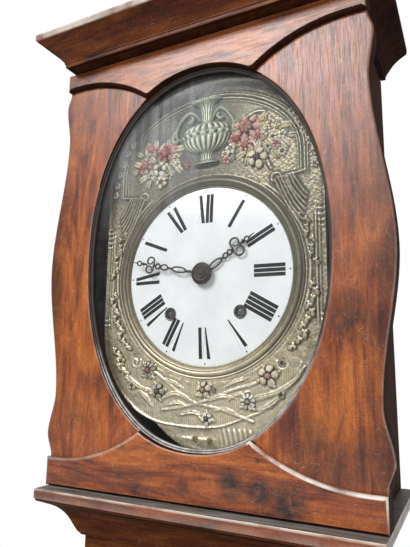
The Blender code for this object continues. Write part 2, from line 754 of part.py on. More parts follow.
def build_hood_door():
    """The glazed door: two swelled stiles, two proud rails with swept edges, and an oval pane."""
    carrier = axis("hood_door_axis", (*HOOD_AXIS, LEDGE_HEIGHT))
    inner = OVAL_HALF_WIDTH / 3
    rail_end = HOOD_HALF_WIDTH + RAIL_OVERHANG
    oval_at = (0.0, DIAL_Z + OVAL_RISE)
    glass_y = (DOOR_BACK - HOOD_GLASS_INSET - GLASS, DOOR_BACK - HOOD_GLASS_INSET)
    frame = []
    for side, name in ((-1, "hood_door_left_stile"), (1, "hood_door_right_stile")):
        xs = edge_places(inner, rail_end)
        outline = [(side * x, bottom_rail_edge(x) + GAP) for x in xs]
        outline += [(side * x, z) for x, z in door_edge(BOTTOM_RAIL_EDGE + GAP, TOP_RAIL_EDGE - GAP)[1:-1]]
        outline += [(side * x, top_rail_edge(x) - GAP) for x in xs[::-1]]
        frame.append(plate(name, [outline], (FACE, DOOR_BACK), (0.0, DIAL_Z)))
    rail_y = (FACE - RAIL_PROUD, DOOR_BACK)
    for name, edge, far in (("hood_door_top_rail", top_rail_edge, HOOD_DOOR_TOP - DIAL_Z),
                            ("hood_door_bottom_rail", bottom_rail_edge, HOOD_DOOR_BOTTOM - DIAL_Z)):
        xs = edge_places(inner, rail_end)
        swept = [(-x, edge(x)) for x in xs[::-1]] + [(x, edge(x)) for x in xs]
        frame.append(plate(name, [swept + [(rail_end, far), (-rail_end, far)]], rail_y, (0.0, DIAL_Z)))
    for piece in frame:
        opening_y = (FACE - 2 * RAIL_PROUD, DOOR_BACK + RAIL_PROUD)
        rebate_y = (glass_y[0] - GAP, DOOR_BACK + RAIL_PROUD)
        cut(piece, plate(piece.name + "_oval", [door_oval(0.0)], opening_y, oval_at),
            plate(piece.name + "_rebate", [door_oval(GLASS_LAP + GAP)], rebate_y, oval_at))
    cut(frame[2], cylinder("top_rail_socket", *upper_pivot_pin(GAP)))
    cut(frame[3], cylinder("bottom_rail_socket", *lower_pivot_pin(GAP)))
    for piece in frame:
        finish(piece, WOOD, carrier)
    finish(plate("hood_door_glass", [door_oval(GLASS_LAP)], glass_y, oval_at), GLAZING, carrier)
    finish(cylinder("hood_pivot_lower", *lower_pivot_pin(0.0)), IRON)
    x, y = HOOD_AXIS
    plate_x = (x - 2 * PIVOT_RADIUS, -HOOD_HALF_WIDTH + HOOD_WALL)
    plate_y = (y - 3 * PIVOT_RADIUS, HOOD_FRONT - GAP)
    upper = box("hood_pivot_upper", plate_x, plate_y, (SOFFIT - GAP - PIVOT_PLATE, SOFFIT - GAP))
    fuse(upper, cylinder("upper_pin", *upper_pivot_pin(0.0)))
    finish(upper, IRON)


def window(extra):
    """The trunk door's window: straight sides with an arch above and below, in x and z from the floor."""
    half = WINDOW_HALF_WIDTH + extra
    top = TRUNK_OPENING_TOP - WINDOW_MARGIN - WINDOW_ARCH
    bottom = TRUNK_OPENING_BOTTOM + WINDOW_MARGIN + WINDOW_ARCH
    steps = 2 * EDGE_STEPS
    turns = [math.pi * i / steps for i in range(steps + 1)]
    rise = WINDOW_ARCH + extra
    outline = [(half * math.cos(t), top + rise * math.sin(t)) for t in turns]
    outline += [(-half * math.cos(t), bottom - rise * math.sin(t)) for t in turns]
    return outline


def build_trunk_door():
    """The glazed trunk door, inset in the front frame, with its pane and a knob that turns a tongue."""
    x, y = trunk_axis()
    carrier = axis("trunk_door_axis", (x, y, TRUNK_OPENING_BOTTOM))
    half = TRUNK_OPENING_HALF_WIDTH - DOOR_RUN
    bottom = TRUNK_OPENING_BOTTOM + DOOR_RUN
    top = TRUNK_OPENING_TOP - DOOR_RUN
    door = box("trunk_door_frame", (-half, half), (TRUNK_FACE, TRUNK_FRONT_BACK), (bottom, top))
    glass_y = (TRUNK_FRONT_BACK - GLASS_INSET - GLASS, TRUNK_FRONT_BACK - GLASS_INSET)
    through = (TRUNK_FACE - TRUNK_FRONT, TRUNK_FRONT_BACK + TRUNK_FRONT)
    cut(door, plate("window_opening", [window(0.0)], through),
        plate("window_rebate", [window(GLASS_LAP + GAP)], (glass_y[0] - GAP, through[1])))
    for side, pin in trunk_pivot_pins(GAP):
        cut(door, cylinder("door_" + side, *pin))
    knob_x = (WINDOW_HALF_WIDTH + GLASS_LAP + half) / 2
    knob_z = (bottom + top) / 2
    shank_y = (TRUNK_FACE - KNOB_LENGTH / 2, TRUNK_FRONT_BACK + TONGUE_RUN + TONGUE_THICKNESS / 2)
    hole_ends = [(knob_x, y, knob_z) for y in through]
    cut(door, cylinder("knob_hole", KNOB_SHANK + GAP, *hole_ends))
    finish(door, WOOD, carrier)
    finish(plate("trunk_door_glass", [window(GLASS_LAP)], glass_y), GLAZING, carrier)
    for side, pin in trunk_pivot_pins(0.0):
        finish(cylinder(side, *pin), IRON)
    knob_axis = axis("trunk_knob_axis", (knob_x, TRUNK_FACE, knob_z))
    profile = [(KNOB_RADIUS * wide, KNOB_LENGTH * long) for wide, long in KNOB_PROFILE]
    profile += [(profile[-1][0], GAP), (0.0, GAP)]
    knob = turned("trunk_door_knob", profile, (knob_x, TRUNK_FACE, knob_z), facing_front=True)
    shank = cylinder("knob_shank", KNOB_SHANK, (knob_x, shank_y[0], knob_z), (knob_x, shank_y[1], knob_z))
    tongue_y = (TRUNK_FRONT_BACK + TONGUE_RUN, TRUNK_FRONT_BACK + TONGUE_RUN + TONGUE_THICKNESS)
    tongue = box("knob_tongue", (knob_x - TONGUE_HALF_WIDTH, knob_x + TONGUE_HALF_WIDTH), tongue_y,
                 (knob_z - TONGUE_LENGTH, knob_z + TONGUE_HALF_WIDTH))
    fuse(knob, shank, tongue)
    finish(knob, BRASS, knob_axis)
    knob_axis.parent = carrier
    knob_axis.matrix_parent_inverse = carrier.matrix_world.inverted()


def line_slot(name, side, z):
    x = side * LINE_X
    return box(name, (x - LINE_SLOT_HALF_WIDTH, x + LINE_SLOT_HALF_WIDTH),
               (LINE_Y - LINE_SLOT_HALF_LENGTH, LINE_Y + LINE_SLOT_HALF_LENGTH), z)


def build_cage():
    """The iron cage on its seat board: plates, pillars and the bars that the arbors run in."""
    seat = box("seat_board", (-TRUNK_HALF_WIDTH, TRUNK_HALF_WIDTH),
               (CAGE_FRONT - SEAT_MARGIN, CAGE_REAR + SEAT_MARGIN), (SEAT_BOTTOM, SEAT_TOP))
    floor_z = (CAGE_BOTTOM_Z, CAGE_BOTTOM_Z + CAGE_PLATE)
    frame = box("cage_frame", (-CAGE_HALF_WIDTH, CAGE_HALF_WIDTH), (CAGE_FRONT, CAGE_REAR), floor_z)
    deep = (SEAT_BOTTOM - SEAT_BOARD, SEAT_TOP + SEAT_BOARD)
    for side, name in ((-1, "left"), (1, "right")):
        cut(seat, line_slot(name + "_seat_slot", side, deep))
        cut(frame, line_slot(name + "_cage_slot", side, deep))
        for end, y in (("front", FRONT_BAR), ("rear", REAR_BAR_BACK - PILLAR)):
            x = side * PILLAR_X
            pillar_z = (CAGE_BOTTOM_Z + CAGE_PLATE / 2, CAGE_TOP_Z - GAP)
            fuse(frame, box(name + "_" + end + "_pillar", (x - PILLAR / 2, x + PILLAR / 2), (y, y + PILLAR),
                            pillar_z))
    finish(seat, DARK_WOOD)
    finish(frame, IRON)
    bar_z = (CAGE_BOTTOM_Z + CAGE_PLATE + GAP, CAGE_TOP_Z - GAP)
    front_y = (FRONT_BAR, FRONT_BAR_BACK)
    rear_y = (REAR_BAR, REAR_BAR_BACK)
    pivots = {"going": [SECOND_ARBOR, THIRD_ARBOR, ESCAPE_ARBOR],
              "strike": [mirrored(SECOND_ARBOR), mirrored(THIRD_ARBOR)]}
    for train, side in (("going", 1), ("strike", -1)):
        x = sorted((side * BAR_INNER_X, side * BAR_OUTER_X))
        for end, y in (("front", front_y), ("rear", rear_y)):
            bar = box(end + "_" + train + "_bar", x, y, bar_z)
            hole_y = (y[0] - BAR, y[1] + BAR)
            name = bar.name + "_hole"
            cut(bar, arbor(name, WINDING_ARBOR_RADIUS + GAP, (side * WINDING_X, WINDING_Z), hole_y))
            for at in pivots[train]:
                cut(bar, arbor(name, ARBOR_RADIUS + GAP, at, hole_y))
            finish(bar, IRON)
    centre = box("front_centre_bar", (-CENTRE_BAR_HALF_WIDTH, CENTRE_BAR_HALF_WIDTH), front_y, bar_z)
    hole_y = (FRONT_BAR - BAR, FRONT_BAR_BACK + BAR)
    cut(centre, arbor("hand_arbor_hole", HAND_ARBOR_RADIUS + GAP, CENTRE_ARBOR, hole_y),
        arbor("motion_arbor_hole", ARBOR_RADIUS + GAP, MOTION_ARBOR, hole_y),
        arbor("anchor_front_hole", ARBOR_RADIUS + GAP, ANCHOR_ARBOR, hole_y))
    finish(centre, IRON)
    build_top_plate(rear_y)


def build_top_plate(rear_y):
    """The top plate with its rear lug for the anchor and the cock whose cheeks carry the pendulum."""
    top_z = (CAGE_TOP_Z, CAGE_TOP_Z + CAGE_PLATE)
    top = box("cage_top_plate", (-CAGE_HALF_WIDTH, CAGE_HALF_WIDTH), (CAGE_FRONT, CAGE_REAR), top_z)
    hang = (DIAL_Z + ANCHOR_HEIGHT - LUG_DROP, CAGE_TOP_Z + CAGE_PLATE / 2)
    fuse(top, box("anchor_lug", (-CENTRE_BAR_HALF_WIDTH, CENTRE_BAR_HALF_WIDTH), rear_y, hang))
    last = PENDULUM_Y + CHEEK_SPACE + CHEEK
    fuse(top, box("pendulum_cock", (-COCK_HALF_WIDTH, COCK_HALF_WIDTH), (rear_y[0], last), top_z))
    cheek_x = (-CHEEK_HALF_WIDTH, CHEEK_HALF_WIDTH)
    for y in (PENDULUM_Y - CHEEK_SPACE - CHEEK, PENDULUM_Y + CHEEK_SPACE):
        fuse(top, box("cock_cheek", cheek_x, (y, y + CHEEK), hang))
    cut(top, arbor("suspension_hole", SUSPENSION_RADIUS + GAP, ANCHOR_ARBOR, (REAR_BAR - BAR, last + CHEEK)))
    finish(top, IRON)


def build_dial():
    """The domed enamel dial on four feet, and the pressed brass surround with its bezel."""
    rings = [DIAL_RADIUS * i / DIAL_RINGS for i in range(1, DIAL_RINGS + 1)]
    bore = HOUR_PIPE_RADIUS + 2 * GAP
    profile = [(bore, DIAL_DOME)]
    profile += [(r, DIAL_DOME * (1 - (r / DIAL_RADIUS) ** 2)) for r in rings]
    profile += [(DIAL_RADIUS, -DIAL_THICKNESS), (bore, -DIAL_THICKNESS)]
    dial = turned("dial", profile, (0.0, DIAL_FRONT, DIAL_Z), True, True, DIAL_FACETS)
    hole_y = (DIAL_FRONT - 2 * DIAL_DOME, DIAL_BACK + DIAL_DOME)
    foot_y = (DIAL_FRONT + DIAL_THICKNESS / 2, FRONT_BAR - GAP)
    foot_z = CAGE_TOP - PILLAR
    for side in (-1, 1):
        cut(dial, arbor("winding_hole", WINDING_HOLE, (side * WINDING_X, WINDING_Z), hole_y, ROUND))
        for height in (-foot_z, foot_z):
            fuse(dial, arbor("dial_foot", DIAL_FOOT_RADIUS, (side * PILLAR_X, height), foot_y))
    finish(dial, ENAMEL)
    steps = 2 * EDGE_STEPS
    turns = [math.pi * i / steps for i in range(steps + 1)]
    rise = SURROUND_TOP - SURROUND_SPRING
    outline = [(SURROUND_HALF_WIDTH * math.cos(t), SURROUND_SPRING + rise * math.sin(t)) for t in turns]
    skirt = oval(SURROUND_HALF_WIDTH, SURROUND_SKIRT - SURROUND_BOTTOM, SURROUND_POWER, 4 * EDGE_STEPS)
    shell = [(-SHELL_HALF_WIDTH * math.cos(t), (SHELL_BOTTOM - SURROUND_BOTTOM) * math.sin(t)) for t in turns]
    left = [(x, SURROUND_SKIRT + z) for x, z in skirt[steps:] if x < -SHELL_HALF_WIDTH]
    outline += left + [(x, SURROUND_BOTTOM + z) for x, z in shell] + [(-x, z) for x, z in left[::-1]]
    surround = plate("dial_surround", [outline, circle(SURROUND_HOLE, DIAL_FACETS)],
                     (SURROUND_FRONT, SURROUND_BACK), (0.0, DIAL_Z))
    inner = SURROUND_HOLE + SURROUND_LIP
    bezel = []
    for i in range(LOOP_STEPS // 2 + 1):
        turn = 2 * math.pi * i / LOOP_STEPS
        bezel.append((inner + BEZEL_WIDTH * (1 - math.cos(turn)) / 2, BEZEL_HEIGHT * math.sin(turn)))
    bezel += [(inner + BEZEL_WIDTH, -SURROUND_SHEET / 2), (inner, -SURROUND_SHEET / 2)]
    fuse(surround, turned("bezel", bezel, (0.0, SURROUND_FRONT, DIAL_Z), True, True, DIAL_FACETS))
    finish(surround, PRESSED_BRASS)


def hand_outlines(length, start, loops):
    """An openwork hand pointing up: a thin stem swelling into pierced loops, then a point.

    A loop with a sideways place is a pair of loops side by side.
    """
    def half_width(s):
        widest = HAND_NECK if s < length else HAND_NECK / 4
        for middle, long, wide, aside in loops:
            reach = abs(s - middle) / long
            if reach < 1:
                widest = max(widest, aside + wide * math.sqrt(1 - reach * reach))
        return widest

    stations = {start, length}
    for middle, long, wide, aside in loops:
        for i in range(LOOP_STEPS + 1):
            stations.add(middle - long * math.cos(math.pi * i / LOOP_STEPS))
    along = sorted(s for s in stations if start <= s <= length)
    outer = [(half_width(s), s) for s in along] + [(-half_width(s), s) for s in reversed(along)]
    outlines = [outer]
    for middle, long, wide, aside in loops:
        for place in {-aside, aside}:
            ring = []
            for i in range(SMALL_ROUND):
                turn = 2 * math.pi * i / SMALL_ROUND
                x = place + (wide - HAND_RIM) * math.cos(turn)
                ring.append((x, middle + (long - HAND_RIM) * math.sin(turn)))
            outlines.append(ring)
    return outlines


def turned_hand(name, outlines, front, turns):
    """A hand's plate, turned clockwise from twelve by a number of turns."""
    angle = -2 * math.pi * turns
    rings = [[swung(point, angle) for point in ring] for ring in outlines]
    return plate(name, rings, (FACE + front, FACE + front + HAND_SHEET), (0.0, DIAL_Z))


def build_hands():
    """The hand arbor with its wheels, the motion wheel, the hour wheel on its pipe, and the two hands."""
    minute_axis = arbor_axis("minute_axis", CENTRE_ARBOR)
    transfer_y = (TRANSFER_Y, TRANSFER_Y + WHEEL)
    cannon_y = (CANNON_Y, CANNON_Y + WHEEL)
    hour_y = (HOUR_WHEEL_Y, HOUR_WHEEL_Y + WHEEL)
    minute_back = FACE + MINUTE_HAND_FRONT + HAND_SHEET
    driven = arbor("hand_arbor", HAND_ARBOR_RADIUS, CENTRE_ARBOR, (minute_back + GAP, FRONT_BAR_BACK), ROUND)
    fuse(driven,
         pinion("hand_wheel", CENTRE_ARBOR, transfer_y, TRANSFER_TEETH, TRANSFER_MODULE, SECOND_ARBOR),
         pinion("cannon_pinion", CENTRE_ARBOR, cannon_y, CANNON_TEETH, CANNON_MODULE, MOTION_ARBOR))
    finish(driven, STEEL, minute_axis)
    boss_y = FACE + MINUTE_HAND_FRONT
    shape = hand_outlines(MINUTE_HAND_LENGTH, -MINUTE_HAND_TAIL, MINUTE_LOOPS)
    minute_hand = turned_hand("minute_hand", shape, MINUTE_HAND_FRONT, SHOWN_MINUTES / 60)
    dome = [(MINUTE_BOSS_RADIUS * wide, MINUTE_BOSS_HEIGHT * high) for wide, high in MINUTE_BOSS_PROFILE]
    dome += [(MINUTE_BOSS_RADIUS, -HAND_SHEET / 2), (0.0, -HAND_SHEET / 2)]
    fuse(minute_hand, turned("minute_boss", dome, (0.0, boss_y, DIAL_Z), False, True))
    finish(minute_hand, BRONZE, minute_axis)
    motion_axis = arbor_axis("motion_axis", MOTION_ARBOR)
    motion = arbor("motion_wheel", ARBOR_RADIUS, MOTION_ARBOR, (DIAL_BACK + MOTION_SPACE, FRONT_BAR_BACK))
    fuse(motion, wheel("minute_wheel", MOTION_ARBOR, cannon_y, MINUTE_TEETH, CANNON_MODULE, CENTRE_ARBOR),
         pinion("motion_pinion", MOTION_ARBOR, hour_y, MOTION_TEETH, HOUR_MODULE, CENTRE_ARBOR))
    finish(motion, BRASS, motion_axis)
    hour_axis = arbor_axis("hour_axis", CENTRE_ARBOR)
    hour_front = FACE + HOUR_HAND_FRONT
    hour = wheel("hour_wheel", CENTRE_ARBOR, hour_y, HOUR_TEETH, HOUR_MODULE, MOTION_ARBOR)
    pipe_y = (hour_front - GAP, HOUR_WHEEL_Y + WHEEL + GAP)
    fuse(hour, arbor("hour_pipe", HOUR_PIPE_RADIUS, CENTRE_ARBOR, pipe_y, ROUND))
    bore_y = (hour_front - WHEEL, HOUR_WHEEL_Y + 2 * WHEEL)
    cut(hour, arbor("hour_bore", HAND_ARBOR_RADIUS + GAP, CENTRE_ARBOR, bore_y, ROUND))
    finish(hour, BRASS, hour_axis)
    shape = hand_outlines(HOUR_HAND_LENGTH, 0.0, HOUR_LOOPS)
    hour_hand = turned_hand("hour_hand", shape, HOUR_HAND_FRONT, (SHOWN_MINUTES + HOUR_HAND_AHEAD) / 720)
    hand_y = (hour_front, hour_front + HAND_SHEET)
    fuse(hour_hand, arbor("hour_boss", HOUR_BOSS_RADIUS, CENTRE_ARBOR, hand_y, ROUND))
    cut(hour_hand, arbor("hour_hand_bore", HOUR_PIPE_RADIUS + GAP, CENTRE_ARBOR, bore_y, ROUND))
    finish(hour_hand, BRONZE, hour_axis)


def build_barrel(name, side, carrier):
    """A winding barrel: a drum between two flanges on an arbor that reaches the dial's winding hole."""
    front = DIAL_BACK + GAP
    reach = [(0.0, front), (WINDING_ARBOR_RADIUS, front), (WINDING_ARBOR_RADIUS, BARREL_Y),
             (BARREL_FLANGE_RADIUS, BARREL_Y), (BARREL_FLANGE_RADIUS, BARREL_Y + BARREL_FLANGE),
             (BARREL_RADIUS, BARREL_Y + BARREL_FLANGE), (BARREL_RADIUS, BARREL_END - BARREL_FLANGE),
             (BARREL_FLANGE_RADIUS, BARREL_END - BARREL_FLANGE), (BARREL_FLANGE_RADIUS, BARREL_END),
             (WINDING_ARBOR_RADIUS, BARREL_END), (WINDING_ARBOR_RADIUS, ARBOR_REAR), (0.0, ARBOR_REAR)]
    profile = [(radius, -y) for radius, y in reach]
    barrel = turned(name, profile, (side * WINDING_X, 0.0, DIAL_Z + WINDING_Z), False, True)
    finish(barrel, STEEL, carrier)


def build_great_wheel(name, at, partner, carrier):
    great = wheel(name, at, (GREAT_Y, GREAT_Y + BAR), GREAT_TEETH, GREAT_MODULE, partner,
                  bore=WINDING_ARBOR_RADIUS + GAP)
    finish(great, BRASS, carrier)


def build_going_train():
    """The right-hand train: barrel, great wheel, centre wheel, third wheel and escape wheel."""
    build_barrel("going_barrel", 1, arbor_axis("going_barrel_axis", GREAT_ARBOR))
    great_axis = arbor_axis("going_great_axis", GREAT_ARBOR)
    build_great_wheel("going_great_wheel", GREAT_ARBOR, SECOND_ARBOR, great_axis)
    pinion_y = (GREAT_Y - PINION_LEAD, GREAT_Y - PINION_LEAD + PINION)
    wheel_y = (SECOND_Y, SECOND_Y + WHEEL)
    transfer_y = (TRANSFER_Y, TRANSFER_Y + WHEEL)
    second = arbor("centre_wheel", ARBOR_RADIUS, SECOND_ARBOR, (TRANSFER_Y - PINION_LEAD, ARBOR_REAR))
    fuse(second, pinion("centre_pinion", SECOND_ARBOR, pinion_y, PINION_LEAVES, GREAT_MODULE, GREAT_ARBOR),
         wheel("centre_plate", SECOND_ARBOR, wheel_y, CENTRE_TEETH, CENTRE_MODULE, THIRD_ARBOR),
         wheel("transfer_wheel", SECOND_ARBOR, transfer_y, TRANSFER_TEETH, TRANSFER_MODULE, CENTRE_ARBOR))
    finish(second, BRASS, arbor_axis("centre_axis", SECOND_ARBOR))
    third = arbor("third_wheel", ARBOR_RADIUS, THIRD_ARBOR, (ARBOR_FRONT, ARBOR_REAR))
    pinion_y = (SECOND_Y - PINION_LEAD, SECOND_Y - PINION_LEAD + PINION)
    wheel_y = (THIRD_Y, THIRD_Y + WHEEL)
    fuse(third, pinion("third_pinion", THIRD_ARBOR, pinion_y, PINION_LEAVES, CENTRE_MODULE, SECOND_ARBOR),
         wheel("third_plate", THIRD_ARBOR, wheel_y, THIRD_TEETH, THIRD_MODULE, ESCAPE_ARBOR))
    finish(third, BRASS, arbor_axis("third_axis", THIRD_ARBOR))
    escape = arbor("escape_wheel", ARBOR_RADIUS, ESCAPE_ARBOR, (ARBOR_FRONT, ARBOR_REAR))
    pinion_y = (THIRD_Y - PINION_LEAD, THIRD_Y - PINION_LEAD + PINION)
    outline = []
    pitch = 2 * math.pi / ESCAPE_TEETH
    root = ESCAPE_RADIUS - ESCAPE_TOOTH
    for i in range(ESCAPE_TEETH):
        for radius, share in zip((root, ESCAPE_RADIUS, ESCAPE_RADIUS, root), ESCAPE_TOOTH_SHARES):
            angle = (i + share) * pitch
            outline.append((radius * math.cos(angle), radius * math.sin(angle)))
    crown = plate("escape_plate", [outline], (ESCAPE_Y, ESCAPE_Y + WHEEL),
                  (ESCAPE_ARBOR[0], DIAL_Z + ESCAPE_ARBOR[1]))
    fuse(escape, crown,
         pinion("escape_pinion", ESCAPE_ARBOR, pinion_y, PINION_LEAVES, THIRD_MODULE, THIRD_ARBOR))
    finish(escape, BRASS, arbor_axis("escape_axis", ESCAPE_ARBOR))


def build_strike_train():
    """The left-hand train: barrel, great wheel, pin wheel and fly."""
    great_at = mirrored(GREAT_ARBOR)
    pin_at = mirrored(SECOND_ARBOR)
    fly_at = mirrored(THIRD_ARBOR)
    build_barrel("strike_barrel", -1, arbor_axis("strike_barrel_axis", great_at))
    build_great_wheel("strike_great_wheel", great_at, pin_at, arbor_axis("strike_great_axis", great_at))
    pin_wheel = arbor("pin_wheel", ARBOR_RADIUS, pin_at, (ARBOR_FRONT, ARBOR_REAR))
    pinion_y = (GREAT_Y - PINION_LEAD, GREAT_Y - PINION_LEAD + PINION)
    wheel_y = (SECOND_Y, SECOND_Y + WHEEL)
    fuse(pin_wheel, pinion("pin_pinion", pin_at, pinion_y, PINION_LEAVES, GREAT_MODULE, great_at),
         wheel("pin_plate", pin_at, wheel_y, CENTRE_TEETH, CENTRE_MODULE, fly_at))
    for i in range(STRIKE_PINS):
        at = step_from(pin_at, STRIKE_PIN_CIRCLE, 2 * math.pi * i / STRIKE_PINS)
        pin_y = (SECOND_Y + WHEEL / 2, SECOND_Y + WHEEL + STRIKE_PIN_LENGTH)
        fuse(pin_wheel, arbor("strike_pin", STRIKE_PIN_RADIUS, at, pin_y, sides=EDGE_STEPS))
    finish(pin_wheel, BRASS, arbor_axis("pin_axis", pin_at))
    fly = arbor("fly", ARBOR_RADIUS, fly_at, (ARBOR_FRONT, ARBOR_REAR))
    pinion_y = (SECOND_Y - PINION_LEAD, SECOND_Y - PINION_LEAD + PINION)
    vane_z = DIAL_Z + fly_at[1]
    vane = box("fly_vane", (fly_at[0] - FLY_RADIUS, fly_at[0] + FLY_RADIUS), (FLY_Y, FLY_Y + FLY_LENGTH),
               (vane_z - FLY_SHEET / 2, vane_z + FLY_SHEET / 2))
    fuse(fly, pinion("fly_pinion", fly_at, pinion_y, PINION_LEAVES, CENTRE_MODULE, pin_at), vane)
    finish(fly, STEEL, arbor_axis("fly_axis", fly_at))


def build_anchor():
    """The anchor over the escape wheel, its arbor, and the crutch whose fork holds the pendulum rod."""
    carrier = arbor_axis("anchor_axis", ANCHOR_ARBOR)
    span = math.dist(ANCHOR_ARBOR, ESCAPE_ARBOR)
    pallet = ESCAPE_RADIUS + PALLET_CLEAR
    tip = (span - pallet * math.cos(ANCHOR_SPAN), pallet * math.sin(ANCHOR_SPAN))
    hub = ANCHOR_HUB
    half = [(-hub, 0.0), (-hub * 0.6, hub), (tip[0] * 0.25, tip[1] + ANCHOR_ARM * 0.3),
            (tip[0], tip[1] + ANCHOR_ARM), tip, (tip[0] * 0.45, tip[1] * 0.72), (hub, hub * 0.6)]
    local = half + [(u, -v) for u, v in half[:0:-1]]
    lean = direction(ANCHOR_ARBOR, ESCAPE_ARBOR)
    outline = [swung(point, lean) for point in local]
    middle = ESCAPE_Y + WHEEL / 2
    anchor = plate("anchor", [outline], (middle - ANCHOR_THICKNESS / 2, middle + ANCHOR_THICKNESS / 2),
                   (ANCHOR_ARBOR[0], DIAL_Z + ANCHOR_ARBOR[1]))
    crutch_y = (CRUTCH_Y, CRUTCH_Y + CRUTCH_SHEET)
    fuse(anchor, arbor("anchor_arbor", ARBOR_RADIUS, ANCHOR_ARBOR, (ARBOR_FRONT, crutch_y[1] + GAP)))
    foot = DIAL_Z + ANCHOR_HEIGHT - CRUTCH_LENGTH
    arm_x = (-CRUTCH_WIDTH / 2, CRUTCH_WIDTH / 2)
    fuse(anchor, box("crutch_arm", arm_x, crutch_y, (foot + FORK_PRONG / 2, DIAL_Z + ANCHOR_HEIGHT + hub)))
    inner = ROD_RADIUS + FORK_RUN
    outer = inner + FORK_PRONG
    fuse(anchor, box("fork_bridge", (-outer, outer), crutch_y, (foot - FORK_PRONG / 2, foot + FORK_PRONG)))
    for side in (-1, 1):
        x = sorted((side * inner, side * outer))
        prong_y = (CRUTCH_Y + CRUTCH_SHEET / 2, PENDULUM_Y + ROD_RADIUS)
        fuse(anchor, box("fork_prong", x, prong_y, (foot - FORK_PRONG / 4, foot + FORK_PRONG / 2)))
    finish(anchor, STEEL, carrier)


def build_pendulum():
    """The pendulum: a rod on a cross pin in the cock's cheeks, a lens bob and a rating nut below it."""
    top = DIAL_Z + ANCHOR_HEIGHT
    carrier = axis("pendulum_axis", (0.0, PENDULUM_Y, top))
    bob_z = top - PENDULUM_LENGTH
    end = bob_z - BOB_RADIUS - RATING_NUT_HEIGHT - ROD_END
    rod = cylinder("pendulum_rod", ROD_RADIUS, (0.0, PENDULUM_Y, end), (0.0, PENDULUM_Y, top + ROD_RADIUS))
    pin_y = (PENDULUM_Y - CHEEK_SPACE - CHEEK + GAP, PENDULUM_Y + CHEEK_SPACE + CHEEK)
    fuse(rod, arbor("suspension_pin", SUSPENSION_RADIUS, ANCHOR_ARBOR, pin_y))
    nut_top = bob_z - BOB_RADIUS - GAP
    fuse(rod, cylinder("rating_nut", RATING_NUT_RADIUS, (0.0, PENDULUM_Y, nut_top - RATING_NUT_HEIGHT),
                       (0.0, PENDULUM_Y, nut_top)))
    finish(rod, STEEL, carrier)
    profile = []
    for i in range(LOOP_STEPS + 1):
        turn = math.pi * i / LOOP_STEPS
        profile.append((BOB_RADIUS * math.sin(turn), BOB_HALF_THICKNESS * math.cos(turn)))
    profile[0] = (0.0, BOB_HALF_THICKNESS)
    profile[-1] = (0.0, -BOB_HALF_THICKNESS)
    bob = turned("pendulum_bob", profile, (0.0, PENDULUM_Y, bob_z), False, True, LARGE_ROUND)
    cut(bob, cylinder("bob_bore", ROD_RADIUS + GAP, (0.0, PENDULUM_Y, bob_z - 2 * BOB_RADIUS),
                      (0.0, PENDULUM_Y, bob_z + 2 * BOB_RADIUS)))
    finish(bob, BRASS, carrier)


def build_bell():
    """The bell on its post over the cage, and the hammer that swings on an arbor between the left pillars."""
    mouth = DIAL_Z + BELL_MOUTH
    bore = BELL_STUD_RADIUS + GAP
    outside = []
    inside = []
    for i in range(EDGE_STEPS + 1):
        turn = math.pi / 2 * i / EDGE_STEPS
        outside.append((max(BELL_RADIUS * math.sin(turn), bore), BELL_HEIGHT * math.cos(turn)))
        hollow = max((BELL_RADIUS - BELL_WALL) * math.sin(turn), bore)
        inside.append((hollow, (BELL_HEIGHT - BELL_WALL) * math.cos(turn)))
    bell = turned("bell", outside + inside[::-1], (0.0, BELL_Y, mouth), True, False, LARGE_ROUND)
    finish(bell, BRASS)
    base = CAGE_TOP_Z + CAGE_PLATE + GAP - mouth
    shoulder = BELL_HEIGHT - BELL_WALL - 2 * GAP
    crown = BELL_HEIGHT + GAP
    nut_top = crown + BELL_NUT_HEIGHT
    profile = [(0.0, nut_top), (BELL_NUT_RADIUS, nut_top), (BELL_NUT_RADIUS, crown),
               (BELL_STUD_RADIUS, crown), (BELL_STUD_RADIUS, shoulder), (BELL_POST_RADIUS, shoulder),
               (BELL_POST_RADIUS, base), (0.0, base)]
    finish(turned("bell_post", profile, (0.0, BELL_Y, mouth), steps=SMALL_ROUND), IRON)
    at = (-PILLAR_X, HAMMER_HEIGHT)
    carrier = arbor_axis("hammer_axis", at)
    arbor_y = (FRONT_BAR + PILLAR + GAP, REAR_BAR_BACK - PILLAR - GAP)
    hammer = arbor("hammer", HAMMER_ARBOR_RADIUS, at, arbor_y)
    arm_y = (BELL_Y - HAMMER_ARM / 2, BELL_Y + HAMMER_ARM / 2)
    out = -HAMMER_ARM_OUT
    head_z = BELL_MOUTH - HAMMER_HEIGHT + HAMMER_ARM
    arm = [(-HAMMER_ARM, -HAMMER_ARM), (HAMMER_ARM, -HAMMER_ARM), (HAMMER_ARM, HAMMER_ARM / 2),
           (out + HAMMER_ARM / 2, -out), (out + HAMMER_ARM / 2, head_z), (out - HAMMER_ARM / 2, head_z),
           (out - HAMMER_ARM / 2, -out), (-HAMMER_ARM, HAMMER_ARM / 2)]
    fuse(hammer, plate("hammer_arm", [arm], arm_y, (at[0], DIAL_Z + at[1])))
    face = -(BELL_RADIUS + HAMMER_STAND)
    head_at = DIAL_Z + HAMMER_HEIGHT + head_z
    fuse(hammer, cylinder("hammer_head", HAMMER_HEAD_RADIUS, (face - HAMMER_HEAD_LENGTH, BELL_Y, head_at),
                          (face, BELL_Y, head_at), SMALL_ROUND))
    tail_z = DIAL_Z + HAMMER_HEIGHT
    fuse(hammer, box("hammer_tail", (at[0] - HAMMER_ARBOR_RADIUS / 2, at[0] + HAMMER_ARBOR_RADIUS / 2),
                     (HAMMER_TAIL_Y, HAMMER_TAIL_Y + HAMMER_ARM), (tail_z - HAMMER_TAIL, tail_z)))
    finish(hammer, IRON, carrier)


